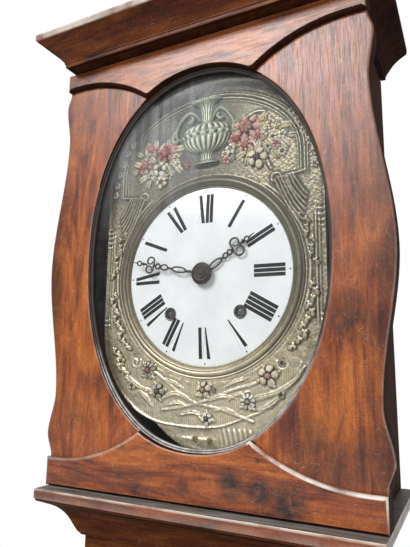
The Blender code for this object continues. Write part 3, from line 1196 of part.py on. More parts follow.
def build_weights():
    """The two cast weights at the bottom of their fall, each on a line from its barrel."""
    top = WEIGHT_HEIGHT + WEIGHT_EYE_HEIGHT
    profile = [(0.0, top), (WEIGHT_EYE_RADIUS, top), (WEIGHT_EYE_RADIUS, WEIGHT_HEIGHT),
               (WEIGHT_RADIUS - WEIGHT_SHOULDER, WEIGHT_HEIGHT),
               (WEIGHT_RADIUS, WEIGHT_HEIGHT - WEIGHT_SHOULDER), (WEIGHT_RADIUS, 0.0), (0.0, 0.0)]
    for name, side in (("going", 1), ("strike", -1)):
        x = side * LINE_X
        carrier = axis(name + "_weight_axis", (x, LINE_Y, WEIGHT_REST))
        finish(turned(name + "_weight", profile, (x, LINE_Y, WEIGHT_REST)), CAST_IRON, carrier)
        low_end = (x, LINE_Y, WEIGHT_REST + top + GAP)
        barrel_end = (x, LINE_Y, DIAL_Z + WINDING_Z)
        finish(cylinder(name + "_line", LINE_RADIUS, low_end, barrel_end, SMALL_ROUND), CORD)


build_base()
build_trunk()
build_hood()
build_hood_door()
build_trunk_door()
build_cage()
build_dial()
build_hands()
build_going_train()
build_strike_train()
build_anchor()
build_pendulum()
build_bell()
build_weights()
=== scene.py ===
from math import acos, atan2, copysign, cos, degrees, exp, hypot, pi, radians, sin, sqrt

import bmesh
import bpy
import numpy as np
from mathutils import Matrix, Vector
from mathutils.geometry import delaunay_2d_cdt


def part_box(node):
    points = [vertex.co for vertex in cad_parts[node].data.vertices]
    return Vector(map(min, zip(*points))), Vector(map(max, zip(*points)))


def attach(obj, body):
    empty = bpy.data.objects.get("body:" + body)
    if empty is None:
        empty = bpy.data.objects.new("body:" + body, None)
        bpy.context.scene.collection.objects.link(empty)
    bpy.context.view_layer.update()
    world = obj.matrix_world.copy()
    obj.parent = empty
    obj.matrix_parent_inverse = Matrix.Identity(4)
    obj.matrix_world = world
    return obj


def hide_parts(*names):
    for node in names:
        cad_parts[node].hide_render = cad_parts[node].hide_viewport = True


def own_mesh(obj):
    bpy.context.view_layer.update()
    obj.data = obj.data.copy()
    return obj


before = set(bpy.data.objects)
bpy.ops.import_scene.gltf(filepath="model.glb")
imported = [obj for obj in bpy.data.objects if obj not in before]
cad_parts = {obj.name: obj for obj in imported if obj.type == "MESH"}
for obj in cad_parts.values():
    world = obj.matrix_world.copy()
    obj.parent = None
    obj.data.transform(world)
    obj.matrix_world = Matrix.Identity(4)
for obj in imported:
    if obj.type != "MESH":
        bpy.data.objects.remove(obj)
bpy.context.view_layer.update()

# The base: a front board and two side boards of fruitwood, stained red-brown and varnished, nailed at the
# corners, with a moulding planed along their upper edge and mitred round the foot of the trunk.

DARK_FIGURE = (0.085, 0.014, 0.005)
MIDDLE_FIGURE = (0.26, 0.056, 0.012)
LIGHT_FIGURE = (0.41, 0.102, 0.018)
ORANGE_FIGURE = (0.64, 0.19, 0.034)
WORN_AND_LIT_ARRIS = (0.8, 0.71, 0.6)
MM = 0.001
GRAIN_SCALE = {"x": (0.06, 1, 1), "y": (1, 0.06, 1), "z": (1, 1, 0.06)}
FIGURE_SCALE = {"x": (0.22, 1, 1), "y": (1, 0.22, 1), "z": (1, 1, 0.22)}


class Bench:
    """Holds the node tree that is being built; the helpers below add to it."""
    tree = None


def new_material(name, roughness=0.5, metallic=0):
    """A new material and its shader, with its tree on the bench."""
    made = bpy.data.materials.new(name)
    made.use_nodes = True
    Bench.tree = made.node_tree
    shader = Bench.tree.nodes["Principled BSDF"]
    plug(shader, "Roughness", roughness)
    plug(shader, "Metallic", metallic)
    return made, shader


def plug(node, key, value):
    """Sets or links a node's input."""
    if isinstance(value, bpy.types.NodeSocket):
        Bench.tree.links.new(value, node.inputs[key])
    else:
        node.inputs[key].default_value = value


def add(kind, inputs=None, **settings):
    """Adds a node, sets its properties, and sets or links its inputs."""
    made = Bench.tree.nodes.new(kind)
    for key, value in settings.items():
        setattr(made, key, value)
    for key, value in (inputs or {}).items():
        plug(made, key, value)
    return made


def out(kind, inputs=None, **settings):
    """The first output of a new node."""
    return add(kind, inputs, **settings).outputs[0]


def colour_of(value):
    """A colour as a socket takes it."""
    return value if isinstance(value, bpy.types.NodeSocket) else (*value, 1)


def mixed(share, first, second, blend="MIX"):
    """The colour between two colours, by a share."""
    sockets = {0: share, 6: colour_of(first), 7: colour_of(second)}
    return add("ShaderNodeMix", sockets, data_type="RGBA", blend_type=blend).outputs[2]


def remap(value, low, high, to_low=0, to_high=1):
    """A value's range stretched on to another, and clamped there."""
    return out("ShaderNodeMapRange", {0: value, 1: low, 2: high, 3: to_low, 4: to_high})


def calc(operation, first, second=0):
    return out("ShaderNodeMath", {0: first, 1: second}, operation=operation)


def times(first, second):
    return calc("MULTIPLY", first, second)


def plus(first, second):
    return calc("ADD", first, second)


def toned(shade, tone):
    return tuple(tone * c for c in shade)


def clouds(place, scale, detail=4, rough=0.55, twist=0):
    """A noise value at a place."""
    sockets = {"Vector": place, "Scale": scale, "Detail": detail, "Roughness": rough, "Distortion": twist}
    return out("ShaderNodeTexNoise", sockets)


def ramp(share, stops):
    """A colour read from stops of place and colour."""
    made = add("ShaderNodeValToRGB", {0: share})
    while len(made.color_ramp.elements) < len(stops):
        made.color_ramp.elements.new(1)
    for stop, (place, colour) in zip(made.color_ramp.elements, stops):
        stop.position = place
        stop.color = (*colour, 1)
    return made.outputs[0]


def object_place():
    return add("ShaderNodeTexCoord").outputs["Object"]


def attribute(name, output="Fac"):
    return add("ShaderNodeAttribute", attribute_name=name).outputs[output]


def bumped(shader, height, strength, distance):
    sockets = {"Height": height, "Strength": strength, "Distance": distance}
    plug(shader, "Normal", out("ShaderNodeBump", sockets))


def spot(place, centre, radius):
    """One at a round spot of a front face, fading out at its radius; heights and widths only."""
    flat = out("ShaderNodeVectorMath", {0: place, 1: (1, 0, 1)}, operation="MULTIPLY")
    away = add("ShaderNodeVectorMath", {0: flat, 1: (centre[0], 0, centre[1])}, operation="DISTANCE")
    return remap(away.outputs["Value"], 0.35 * radius, radius, 1, 0)


def stained_wood(name, grain, tone=1, stains=(), dull=False, lights=(), margin=None, gloss=0.6):
    """Varnished fruitwood: figure along the grain, pores, blotches, scratches, worm holes, and arrises
    pale with wear and, on some, a painted highlight.
    """
    made, shader = new_material(name)
    place = object_place()
    along = out("ShaderNodeMapping", {"Vector": place, "Scale": GRAIN_SCALE[grain]})
    across = out("ShaderNodeMapping", {"Vector": place, "Scale": FIGURE_SCALE[grain]})
    figure = clouds(across, 34, 6, 0.62, 1.6)
    streaks = clouds(along, 190, 4, 0.6, 0.6)
    pores = clouds(along, 620, 3, 0.65)
    shades = [toned(shade, tone) for shade in (DARK_FIGURE, MIDDLE_FIGURE, LIGHT_FIGURE, ORANGE_FIGURE)]
    grained = mixed(0.3, figure, streaks)
    colour = ramp(grained, list(zip((0.36, 0.46, 0.56, 0.68), shades)))
    bright = remap(clouds(across, 13, 3), 0.53, 0.7, 0, 0.55)
    colour = mixed(bright, colour, mixed(0.5, colour, shades[3]))
    blotch = remap(clouds(across, 21, 4, 0.6, 0.8), 0.55, 0.7, 0, 0.75)
    colour = mixed(blotch, colour, toned(shades[0], 1.4))
    colour = mixed(remap(pores, 0.54, 0.7, 0, 0.65), colour, toned(shades[0], 0.5))
    for x, z, radius, strength in lights:
        shown = remap(grained, 0.4, 0.62, 0.05, 0.5 * strength)
        share = times(spot(place, (x * MM, z * MM), 1.3 * MM * radius), shown)
        colour = mixed(share, colour, shades[3])
    if margin:
        # Darker towards the door's outer edges.
        sideways = calc("ABSOLUTE", out("ShaderNodeSeparateXYZ", {0: place}), 0)
        edge_reach = plus(sideways, remap(clouds(place, 24), 0.3, 0.7, -0.012, 0.012))
        colour = mixed(remap(edge_reach, *margin, 0, 0.72), colour, toned(shades[0], 0.55))
    for x, z, radius, strength in stains:
        broken = remap(clouds(place, 70), 0.3, 0.54, 0.3, 1)
        share = times(spot(place, (x * MM, z * MM), MM * radius), broken)
        colour = mixed(times(share, strength), colour, (0.018, 0.009, 0.007))
    wander = clouds(place, 11, 2)
    bent = out("ShaderNodeVectorMath", {0: place, 1: wander}, operation="ADD")
    for scale, fine in ((16, 0.0045), (31, 0.007), (52, 0.011)):
        net = add("ShaderNodeTexVoronoi", {"Vector": bent, "Scale": scale}, feature="DISTANCE_TO_EDGE")
        scratch = remap(net.outputs[0], 0.3 * fine, fine, 1, 0)
        shown = remap(clouds(place, 1.2 * scale, 2), 0.48, 0.6, 0, 0.5)
        colour = mixed(times(scratch, shown), colour, toned((0.72, 0.42, 0.24), tone))
    holes = add("ShaderNodeTexVoronoi", {"Vector": place, "Scale": 34})
    hole = remap(holes.outputs["Distance"], 0.026, 0.042, 1, 0)
    chosen = out("ShaderNodeSeparateColor", {0: holes.outputs["Color"]})
    hole = times(hole, remap(chosen, 0.76, 0.77))
    colour = mixed(hole, colour, (0.012, 0.006, 0.004))
    crazed = ramp(clouds(place, 420, 4, 0.7), [(0.32, (0.74, 0.7, 0.68)), (0.68, (1.24, 1.26, 1.28))])
    colour = mixed(1, colour, crazed, "MULTIPLY")
    if not dull:
        # Arrises painted pale: rubbed wear, and along the bottom rail's sweeps a painted highlight.
        paleness = remap(clouds(place, 30), 0.3, 0.55, 0.15, 1)
        worn_and_lit = times(attribute("wear_and_highlight"), paleness)
        colour = mixed(worn_and_lit, colour, WORN_AND_LIT_ARRIS)
    plug(shader, "Base Color", colour)
    smooth, rough = (0.75, 0.9) if dull else (0.3, 0.46)
    plug(shader, "Roughness", remap(pores, 0.35, 0.7, smooth, rough))
    plug(shader, "Specular IOR Level", 0.12 if dull else gloss)
    bumped(shader, mixed(0.4, pores, figure), 0.3, 0.0006)
    return made


def linked(name, data):
    """A new object in the scene."""
    made = bpy.data.objects.new(name, data)
    bpy.context.scene.collection.objects.link(made)
    return made


def piece(name, mesh, body, slot, finishes, *nodes):
    """Links a mesh as a piece that rides on a body and stands for the CAD nodes it names."""
    mesh.name = name
    made = linked(name, mesh)
    for one in finishes:
        mesh.materials.append(one)
    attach(made, body)
    if nodes:
        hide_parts(*nodes)
    return made


def mesh_from(shape, sharp=None):
    """A smooth mesh from a bmesh, its faces outwards, with edges past an angle kept sharp."""
    bmesh.ops.recalc_face_normals(shape, faces=shape.faces)
    mesh = bpy.data.meshes.new("shape")
    shape.to_mesh(mesh)
    shape.free()
    mesh.shade_smooth()
    if sharp:
        mesh.set_sharp_from_angle(angle=radians(sharp))
    return mesh


def planed_board(low, high, ease=0.0015, rim=0.003, paleness=0.12):
    """A board with eased arrises and, in its wear_and_highlight attribute, how rubbed each point is."""
    shape = bmesh.new()
    wear_and_highlight = shape.verts.layers.float.new("wear_and_highlight")
    bmesh.ops.create_cube(shape, size=1)
    for v in shape.verts:
        v.co = Vector([low[i] if v.co[i] < 0 else high[i] for i in range(3)])
    bmesh.ops.bevel(shape, geom=list(shape.edges), offset=ease, segments=2, profile=0.5, affect="EDGES")
    for v in shape.verts:
        v[wear_and_highlight] = paleness
    flats = sorted(shape.faces, key=lambda face: face.calc_area())[-6:]
    thin = min(high[i] - low[i] for i in range(3))
    bmesh.ops.inset_individual(shape, faces=flats, thickness=min(rim, 0.25 * thin))
    for face in flats:
        for v in face.verts:
            v[wear_and_highlight] = 0
    return mesh_from(shape)


def mitred_run(name, profile, half, front, back, finishes, *nodes, level=0.86):
    """A moulding round three sides of the case; its profile gives distance out, height and wear."""
    shape = bmesh.new()
    wear_and_highlight = shape.verts.layers.float.new("wear_and_highlight")
    rows = []
    for out, height, paleness in profile:
        x, y = half + out, front - out
        corners = ((-x, back), (-x, y), (x, y), (x, back))
        row = [shape.verts.new((*corner, height)) for corner in corners]
        for v in row:
            v[wear_and_highlight] = paleness
        rows.append(row)
    for first, second in zip(rows, rows[1:] + rows[:1]):
        for i in range(3):
            face = shape.faces.new((first[i], first[i + 1], second[i + 1], second[i]))
            face.material_index = 0 if i == 1 else 1
    for end in (0, 3):
        shape.faces.new([row[end] for row in rows])
    bmesh.ops.recalc_face_normals(shape, faces=shape.faces)
    # Faces that look up take the last finish; faces that look down take the third, a painted shade.
    for face in shape.faces:
        if abs(face.normal.z) > level:
            face.material_index = len(finishes) - 1 if face.normal.z > 0 else 2
    return piece(name, mesh_from(shape, 34), "case", "wood", finishes, *nodes)


def hollow(low, high, steps=14):
    """A cove's points between two of a profile: upright at the low one, level at the high one."""
    turns = [pi / 2 * i / steps for i in range(steps + 1)]
    return [(low[0] + (high[0] - low[0]) * (1 - cos(t)), low[1] + (high[1] - low[1]) * sin(t), 0)
            for t in turns]


def rounded(corner, before, after, ease, wear_and_highlight=1):
    """A profile's corner eased to a small round, with its wear."""
    corner, before, after = Vector(corner), Vector(before), Vector(after)
    first = corner + (before - corner).normalized() * ease
    last = corner + (after - corner).normalized() * ease
    return [(*first, wear_and_highlight), (*(corner.lerp((first + last) / 2, 0.55)), wear_and_highlight), (*last, wear_and_highlight)]


def boarded(nodes, slot, finish):
    """Boards of the case in place of CAD nodes."""
    for node in nodes:
        piece(node + "_board", planed_board(*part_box(node)), "case", slot, [finish], node)


upright_wood = stained_wood("upright_wood", "z")
level_wood = stained_wood("level_wood", "x")
# Darker wood for the mouldings' side returns, which look away from the light: painted shade.
shaded_return_wood = stained_wood("shaded_return_wood", "y", 0.3)
dark_wood = stained_wood("dark_wood", "z", 0.12, dull=True)
# Near-black wood for faces looking down or sideways, the oval's reveal and cornice returns: painted shade.
painted_shade_wood = stained_wood("painted_shade_wood", "x", 0.07, dull=True)
boarded(("base_front", "base_left_side", "base_right_side"), "wood", upright_wood)

base_low, base_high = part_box("base_moulding")
trunk_low, trunk_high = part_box("trunk_front_frame")
MOULDING_OFF = 0.0003
BASE_EDGE = 0.008
BASE_LIP = 0.006
reach = trunk_low.y - base_low.y
bottom, top = base_low.z, base_high.z
base_profile = [(MOULDING_OFF, bottom, 0)]
base_profile += rounded((reach, bottom), (0, bottom), (reach, top), 0.0015, 0.25)
base_profile += rounded((reach, bottom + BASE_EDGE), (reach, bottom), (0, bottom + BASE_EDGE), 0.0015, 0.4)
base_profile += hollow((BASE_LIP, top), (reach - BASE_LIP, bottom + BASE_EDGE))[::-1]
base_profile.append((MOULDING_OFF, top, 0.5))
mitred_run("base_moulding_run", base_profile, trunk_high.x, trunk_low.y, base_high.y,
           [level_wood, shaded_return_wood, painted_shade_wood, level_wood], "base_moulding")

# The trunk: two side boards, a thin back of dark pine, and a front frame of two stiles tenoned between
# rails, which leaves the opening for the glazed door.

boarded(("trunk_left_side", "trunk_right_side", "trunk_back"), "dark_wood", dark_wood)

door_low, door_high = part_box("trunk_door_frame")
DOOR_RUN = 0.0015
opening_x = door_high.x + DOOR_RUN
opening_z = (door_low.z - DOOR_RUN, door_high.z + DOOR_RUN)
frame_front, frame_back = trunk_low.y, trunk_high.y
frame_parts = {
    "trunk_frame_left_stile": ((trunk_low.x, trunk_low.z), (-opening_x, trunk_high.z), upright_wood),
    "trunk_frame_right_stile": ((opening_x, trunk_low.z), (trunk_high.x, trunk_high.z), upright_wood),
    "trunk_frame_bottom_rail": ((-opening_x, trunk_low.z), (opening_x, opening_z[0]), level_wood),
    "trunk_frame_top_rail": ((-opening_x, opening_z[1]), (opening_x, trunk_high.z), level_wood),
}
for name, (low, high, finish) in frame_parts.items():
    mesh = planed_board((low[0], frame_front, low[1]), (high[0], frame_back, high[1]), 0.001)
    piece(name, mesh, "case", "wood", [finish], "trunk_front_frame")

# The throat moulding: a deep cove glued round the head of the trunk, its top a ledge with a square edge
# that the hood stands on; the edge is rubbed pale.

throat_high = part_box("throat_moulding")[1]
LEDGE_EDGE = 0.0125
FRIEZE_OUT, FRIEZE_LOW = 0.0084, 0.088
# The cove's points, in millimetres: distance out from the trunk and below the ledge's top
COVE = ((13, 60), (16.3, 56), (20, 48.5), (23.2, 41.5), (26.8, 35), (31.2, 29.3), (37, 24), (46, 19.3),
        (55.5, 15.2))


def mm(points):
    """Points in millimetres as metres."""
    return [tuple(MM * c for c in point) for point in points]


def smooth_path(points, steps=6):
    """Points along a smooth curve through a path's points."""
    ends = [points[0]] + list(points) + [points[-1]]
    path = []
    for a, b, c, d in zip(ends, ends[1:], ends[2:], ends[3:]):
        a, b, c, d = (np.array(p, float) for p in (a, b, c, d))
        for i in range(steps):
            t = i / steps
            path.append(0.5 * (2 * b + (c - a) * t + (2 * a - 5 * b + 4 * c - d) * t ** 2
                               + (3 * b - a - 3 * c + d) * t ** 3))
    return path + [np.array(points[-1], float)]


reach = throat_high.x - trunk_high.x
top = throat_high.z
edge = top - LEDGE_EDGE
frieze = top - FRIEZE_LOW
# Dark wood for the throat's cove and frieze, standing for the ledge's shadow: painted shade.
throat_shadow_wood = stained_wood("throat_shadow_wood", "x", 0.26, dull=True)
ledge_wood = stained_wood("ledge_wood", "x", 0.7)
throat_profile = [(MOULDING_OFF, frieze, 0)]
throat_profile += rounded((FRIEZE_OUT, frieze), (0, frieze), (FRIEZE_OUT, top), 0.001, 0.1)
throat_profile += [(FRIEZE_OUT, top - 0.0616, 0), (0.0125, top - 0.0612, 0.05)]
throat_profile += [(out, top - drop, 0) for out, drop in smooth_path(mm(COVE), 3)]
throat_profile += [(0.0555, edge - 0.0002, 0), (MOULDING_OFF, edge - 0.0002, 0)]
mitred_run("throat_cove", throat_profile, trunk_high.x, trunk_low.y, throat_high.y,
           [throat_shadow_wood, shaded_return_wood, painted_shade_wood], "throat_moulding")
dusty_wood, dusty_shader = new_material("dusty_wood", 0.55)
dusty_grain = add("ShaderNodeMapping", {"Vector": object_place(), "Scale": GRAIN_SCALE["x"]})
dusty_figure = clouds(dusty_grain.outputs[0], 260, 4, 0.65)
plug(dusty_shader, "Base Color", ramp(dusty_figure, [(0.34, (0.07, 0.058, 0.048)),
                                                     (0.66, (0.29, 0.26, 0.23))]))
bumped(dusty_shader, dusty_figure, 0.3, 0.0005)
ledge_profile = [(MOULDING_OFF, edge, 0)]
ledge_profile += rounded((reach, edge), (0, edge), (reach, top), 0.0006, 0.15)
ledge_profile += [(reach, top - 0.0032, 0), (reach, top - 0.0022, 0.4), (reach, top - 0.0007, 0.7),
                  (reach - 0.0004, top - 0.0001, 0.7), (reach - 0.0012, top, 0.5),
                  (reach - 0.0022, top, 0.1)]
ledge_profile += [(reach - 0.004, top, 0), (MOULDING_OFF, top, 0)]
mitred_run("throat_ledge", ledge_profile, trunk_high.x, trunk_low.y, throat_high.y,
           [ledge_wood, shaded_return_wood, painted_shade_wood, dusty_wood], "throat_moulding")

# The hood: two side boards and a back, nearly black, a top board, and a cornice
# with a plain fillet over a cove, mitred at the front corners.

boarded(("hood_left_side", "hood_right_side", "hood_back"), "dark_wood", dark_wood)
piece("hood_top_cover", planed_board(*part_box("hood_top_board")), "case", "wood",
      [dark_wood], "hood_top_board")

cornice_low, cornice_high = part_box("cornice")
top_low, top_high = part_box("hood_top_board")
CORNICE_FILLET = 0.0092
CORNICE_FOOT = 0.0072
# The cove's points, in millimetres: distance out from the top board and below the cornice's top
CORNICE_COVE = ((8.5, 36.8), (11.2, 33.8), (15, 28.5), (19.6, 23), (25.6, 17.8), (32, 13.8), (38, 10.4))
reach = cornice_high.x - top_high.x
bottom, top = cornice_low.z, cornice_high.z
fillet = top - CORNICE_FILLET
cornice_profile = [(MOULDING_OFF, bottom, 0)]
cornice_profile += rounded((CORNICE_FOOT, bottom), (0, bottom), (CORNICE_FOOT, top), 0.0008, 0)
cornice_profile += [(CORNICE_FOOT, top - 0.0392, 0), (CORNICE_FOOT + 0.0016, top - 0.0384, 0),
                    (CORNICE_FOOT + 0.0016, top - 0.0374, 0)]
cornice_profile += [(out, top - drop, 0) for out, drop in smooth_path(mm(CORNICE_COVE), 3)]
cornice_profile += rounded((reach, fillet), (0, fillet), (reach, top), 0.0006, 0.7)
cornice_profile += [(reach, fillet + 0.35 * CORNICE_FILLET, 0.55),
                    (reach, fillet + 0.7 * CORNICE_FILLET, 0.6)]
cornice_profile += rounded((reach, top), (reach, bottom), (0, top), 0.0012, 0.9)
cornice_profile += [(reach - 0.004, top, 0.2), (MOULDING_OFF, top, 0)]
cornice_wood = stained_wood("cornice_wood", "x", 0.42, gloss=0.15)
mitred_run("cornice_run", cornice_profile, top_high.x, top_low.y, cornice_high.y,
           [cornice_wood, painted_shade_wood, painted_shade_wood], "cornice", level=0.97)

# The movement: a cage of black forged iron on a pine seat board, with five iron bars that carry the steel
# arbors and brass wheels of the going and strike trains, hidden by the dial.


def metal(name, dark, light, roughness, metallic, scale=60, grime=0.35):
    """Metal mottled between two tones, with grime in patches and fine file marks."""
    made, shader = new_material(name, metallic=metallic)
    place = object_place()
    mottle = clouds(place, scale, 5, 0.6)
    colour = ramp(mottle, [(0.34, dark), (0.66, light)])
    grimy = remap(clouds(place, 0.35 * scale, 3), 0.5, 0.72, 0, grime)
    colour = mixed(grimy, colour, toned(dark, 0.25))
    plug(shader, "Base Color", colour)
    plug(shader, "Roughness", remap(mottle, 0.3, 0.7, roughness - 0.08, roughness + 0.12))
    marks = clouds(place, 14 * scale, 2)
    bumped(shader, mixed(0.5, marks, mottle), 0.15, 0.0004)
    return made


forged_iron = metal("forged_iron", (0.03, 0.027, 0.025), (0.085, 0.074, 0.066), 0.55, 0.85, 45)
cast_iron = metal("cast_iron", (0.028, 0.024, 0.022), (0.075, 0.062, 0.052), 0.62, 0.6, 90)
bright_steel = metal("bright_steel", (0.34, 0.33, 0.32), (0.56, 0.55, 0.53), 0.3, 1, 70, 0.25)
wheel_brass = metal("wheel_brass", (0.5, 0.34, 0.12), (0.78, 0.58, 0.27), 0.3, 1, 50, 0.3)
bell_bronze = metal("bell_bronze", (0.34, 0.24, 0.12), (0.56, 0.42, 0.22), 0.33, 1, 40, 0.3)
pine = stained_wood("seat_pine", "x", 0.5)

metal_nodes = {
    forged_iron: ("cage_frame", "cage_top_plate", "front_going_bar", "front_strike_bar", "front_centre_bar",
                  "rear_going_bar", "rear_strike_bar", "bell_post", "hood_pivot_upper", "hood_pivot_lower",
                  "trunk_pivot_upper", "trunk_pivot_lower", "hammer"),
    bright_steel: ("anchor", "hand_arbor", "fly", "pendulum_rod"),
    wheel_brass: ("going_great_wheel", "going_barrel", "centre_wheel", "third_wheel", "escape_wheel",
                  "motion_wheel", "hour_wheel", "strike_great_wheel", "strike_barrel", "pin_wheel"),
    pine: ("seat_board",),
}
for finish, nodes in metal_nodes.items():
    for node in nodes:
        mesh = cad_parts[node].data
        mesh.materials.clear()
        mesh.materials.append(finish)

# The dial: a disc of copper, domed and fired with white enamel, with black Roman hours painted on it and
# two winding holes lined with dark ferrules; small dots and ticks mark the hours and minutes.

dial_low, dial_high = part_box("dial")
DIAL_RADIUS = 0.124
DIAL_DOME, SOLID_DOME = 0.0065, 0.0025
DIAL_BORE = 0.0055
WINDING_HOLE = 0.0074
WINDING_PLACES = ((-0.05, -0.05), (0.05, -0.05))
dial_z = (dial_low.z + dial_high.z) / 2
dial_edge = dial_low.y + SOLID_DOME
DIAL_SHEET = 0.0025


def ring(radius, count, centre=(0, 0), clockwise=False):
    """A circle's points in x and z."""
    turns = [2 * pi * i / count * (-1 if clockwise else 1) for i in range(count)]
    return [(centre[0] + radius * cos(t), centre[1] + radius * sin(t)) for t in turns]


def inside(points, outline):
    """Which points lie inside an outline."""
    found = np.zeros(len(points), bool)
    ends = np.array(outline)
    for (x0, z0), (x1, z1) in zip(ends, np.roll(ends, -1, 0)):
        if z0 == z1:
            continue
        spans = (z0 > points[:, 1]) != (z1 > points[:, 1])
        found ^= spans & (points[:, 0] < (x1 - x0) * (points[:, 1] - z0) / (z1 - z0) + x0)
    return found


def far_from(points, outline, distance):
    """Which points lie further than a distance from an outline."""
    nearest = np.full(len(points), 1e9)
    ends = np.array(outline)
    for a, b in zip(ends, np.roll(ends, -1, 0)):
        span = b - a
        share = np.clip(((points - a) @ span) / max(span @ span, 1e-18), 0, 1)
        nearest = np.minimum(nearest, np.linalg.norm(points - a - share[:, None] * span, axis=1))
    return nearest > distance


def relief_sheet(outlines, spacing, front, back, extras=None):
    """A closed sheet cut to outlines in x and z, its front at front(x, z) and its back flat.

    The first outline runs anticlockwise, the holes clockwise; extras gives float attributes of the front.
    """
    outer = np.array(outlines[0])
    low, high = outer.min(0), outer.max(0)
    rows = int((high[1] - low[1]) / (spacing * 0.866)) + 1
    columns = int((high[0] - low[0]) / spacing) + 2
    grid = [(low[0] + (i + 0.5 * (j % 2)) * spacing, low[1] + j * spacing * 0.866)
            for j in range(rows) for i in range(columns)]
    grid = np.array(grid)
    keep = inside(grid, outlines[0])
    for hole in outlines[1:]:
        keep &= ~inside(grid, hole)
    grid = grid[keep]
    for outline in outlines:
        grid = grid[far_from(grid, outline, 0.55 * spacing)]
    edge_points = [point for outline in outlines for point in outline]
    loops = []
    start = 0
    for outline in outlines:
        loops.append(range(start, start + len(outline)))
        start += len(outline)
    joins = [(loop[i], loop[(i + 1) % len(loop)]) for loop in loops for i in range(len(loop))]
    points = [Vector(p) for p in edge_points] + [Vector(p) for p in grid]
    front_made = delaunay_2d_cdt(points, joins, [], 1, 1e-7)
    back_made = delaunay_2d_cdt(points[:start], joins, [], 1, 1e-7)
    flat = np.array([tuple(v) for v in front_made[0]])
    count = len(flat)
    corners = np.column_stack([flat[:, 0], front(flat[:, 0], flat[:, 1]), flat[:, 1]])
    rear = np.array([(v.x, back, v.y) for v in back_made[0]])

    def within(faces, verts):
        middles = np.array([np.mean([tuple(verts[i]) for i in face], 0) for face in faces])
        good = inside(middles, outlines[0])
        for hole in outlines[1:]:
            good &= ~inside(middles, hole)
        return [face for face, keep in zip(faces, good) if keep]

    faces = [tuple(f) for f in within(front_made[2], front_made[0])]
    faces += [tuple(count + i for i in reversed(f)) for f in within(back_made[2], back_made[0])]
    faces += [(count + i, count + j, j, i) for i, j in joins]
    mesh = bpy.data.meshes.new("sheet")
    mesh.from_pydata(np.vstack([corners, rear]).tolist(), [], faces)
    mesh.update()
    for key, worth in (extras or {}).items():
        layer = mesh.attributes.new(key, "FLOAT", "POINT")
        values = np.zeros(len(mesh.vertices), np.float32)
        values[:count] = worth(flat[:, 0], flat[:, 1])
        layer.data.foreach_set("value", values)
    mesh.shade_smooth()
    mesh.set_sharp_from_angle(angle=radians(60))
    return mesh


def dome(x, z):
    """The enamel's front, from a place about the dial's centre."""
    return dial_edge - DIAL_DOME * (1 - (x * x + z * z) / DIAL_RADIUS ** 2)


def moved(mesh, place):
    mesh.transform(Matrix.Translation(place))
    return mesh


def raised(mesh):
    """Lifts a mesh drawn about the dial's centre to its height."""
    return moved(mesh, (0, 0, dial_z))


def enamel_white():
    """White enamel: a cool white glaze with faint hairlines, specks and a grey bloom."""
    made, shader = new_material("white_enamel", 0.16)
    place = object_place()
    bloom = clouds(place, 28)
    colour = ramp(bloom, [(0.35, (0.715, 0.725, 0.715)), (0.65, (0.79, 0.795, 0.78))])
    net = out("ShaderNodeTexVoronoi", {"Vector": place, "Scale": 26}, feature="DISTANCE_TO_EDGE")
    hair = times(remap(net, 0.002, 0.006, 1, 0),
                remap(clouds(place, 17), 0.54, 0.62, 0, 0.3))
    colour = mixed(hair, colour, (0.42, 0.41, 0.39))
    specks = remap(clouds(place, 900, 1), 0.71, 0.75, 0, 0.5)
    colour = mixed(specks, colour, (0.3, 0.27, 0.24))
    plug(shader, "Base Color", colour)
    bumped(shader, bloom, 0.05, 0.0005)
    return made


def painted_black(name, colour):
    made, shader = new_material(name, 0.6)
    plug(shader, "Specular IOR Level", 0.2)
    thin = clouds(object_place(), 240, 3)
    plug(shader, "Base Color", ramp(thin, [(0.4, colour), (0.75, toned(colour, 2.6))]))
    return made


white_enamel = enamel_white()
hour_black = painted_black("hour_black", (0.01, 0.01, 0.011))
dial_outlines = [ring(DIAL_RADIUS, 160), ring(DIAL_BORE, 32, clockwise=True)]
dial_outlines += [ring(WINDING_HOLE, 32, place, True) for place in WINDING_PLACES]
dial_mesh = relief_sheet(dial_outlines, 0.004, dome, dial_edge + DIAL_SHEET)
piece("enamel_dial", raised(dial_mesh), "case", "enamel", [white_enamel], "dial")

NUMERAL_INNER, NUMERAL_OUTER = 0.0685, 0.1083
STROKE = 0.0047
HAIRLINE = 0.00018
STROKE_GAP = 0.001
LETTER_WIDTH = {"I": STROKE, "V": 0.0108, "X": 0.0106}
PAINT = 0.00012
HOURS = ("XII", "I", "II", "III", "IIII", "V", "VI", "VII", "VIII", "IX", "X", "XI")


def letter_strokes(letter, left):
    """A letter's strokes: sideways limits at the outer end, then at the inner end."""
    right = left + LETTER_WIDTH[letter]
    if letter == "I":
        return [((left, right), (left, right))]
    middle = (left + right) / 2
    thin = (right - HAIRLINE, right)
    if letter == "V":
        foot = middle + 0.2 * STROKE
        return [((left, left + STROKE), (foot - STROKE / 6, foot + STROKE / 6)),
                (thin, (foot, foot + HAIRLINE))]
    return [((left, left + STROKE), (right - STROKE, right)), (thin, (left, left + HAIRLINE))]


def skin(shape, rows, hoop=False, caps=False):
    """Faces round and between rows of points, and from the last row to the first or over both ends."""
    for a, b in zip(rows, rows[1:] + rows[:1] if hoop else rows[1:]):
        for i in range(max(len(a), len(b))):
            corners = [a[i % len(a)], a[(i + 1) % len(a)], b[(i + 1) % len(b)], b[i % len(b)]]
            shape.faces.new(list(dict.fromkeys(corners)))
    for row in (rows[0], rows[-1]):
        if caps and len(row) > 1:
            shape.faces.new(row)


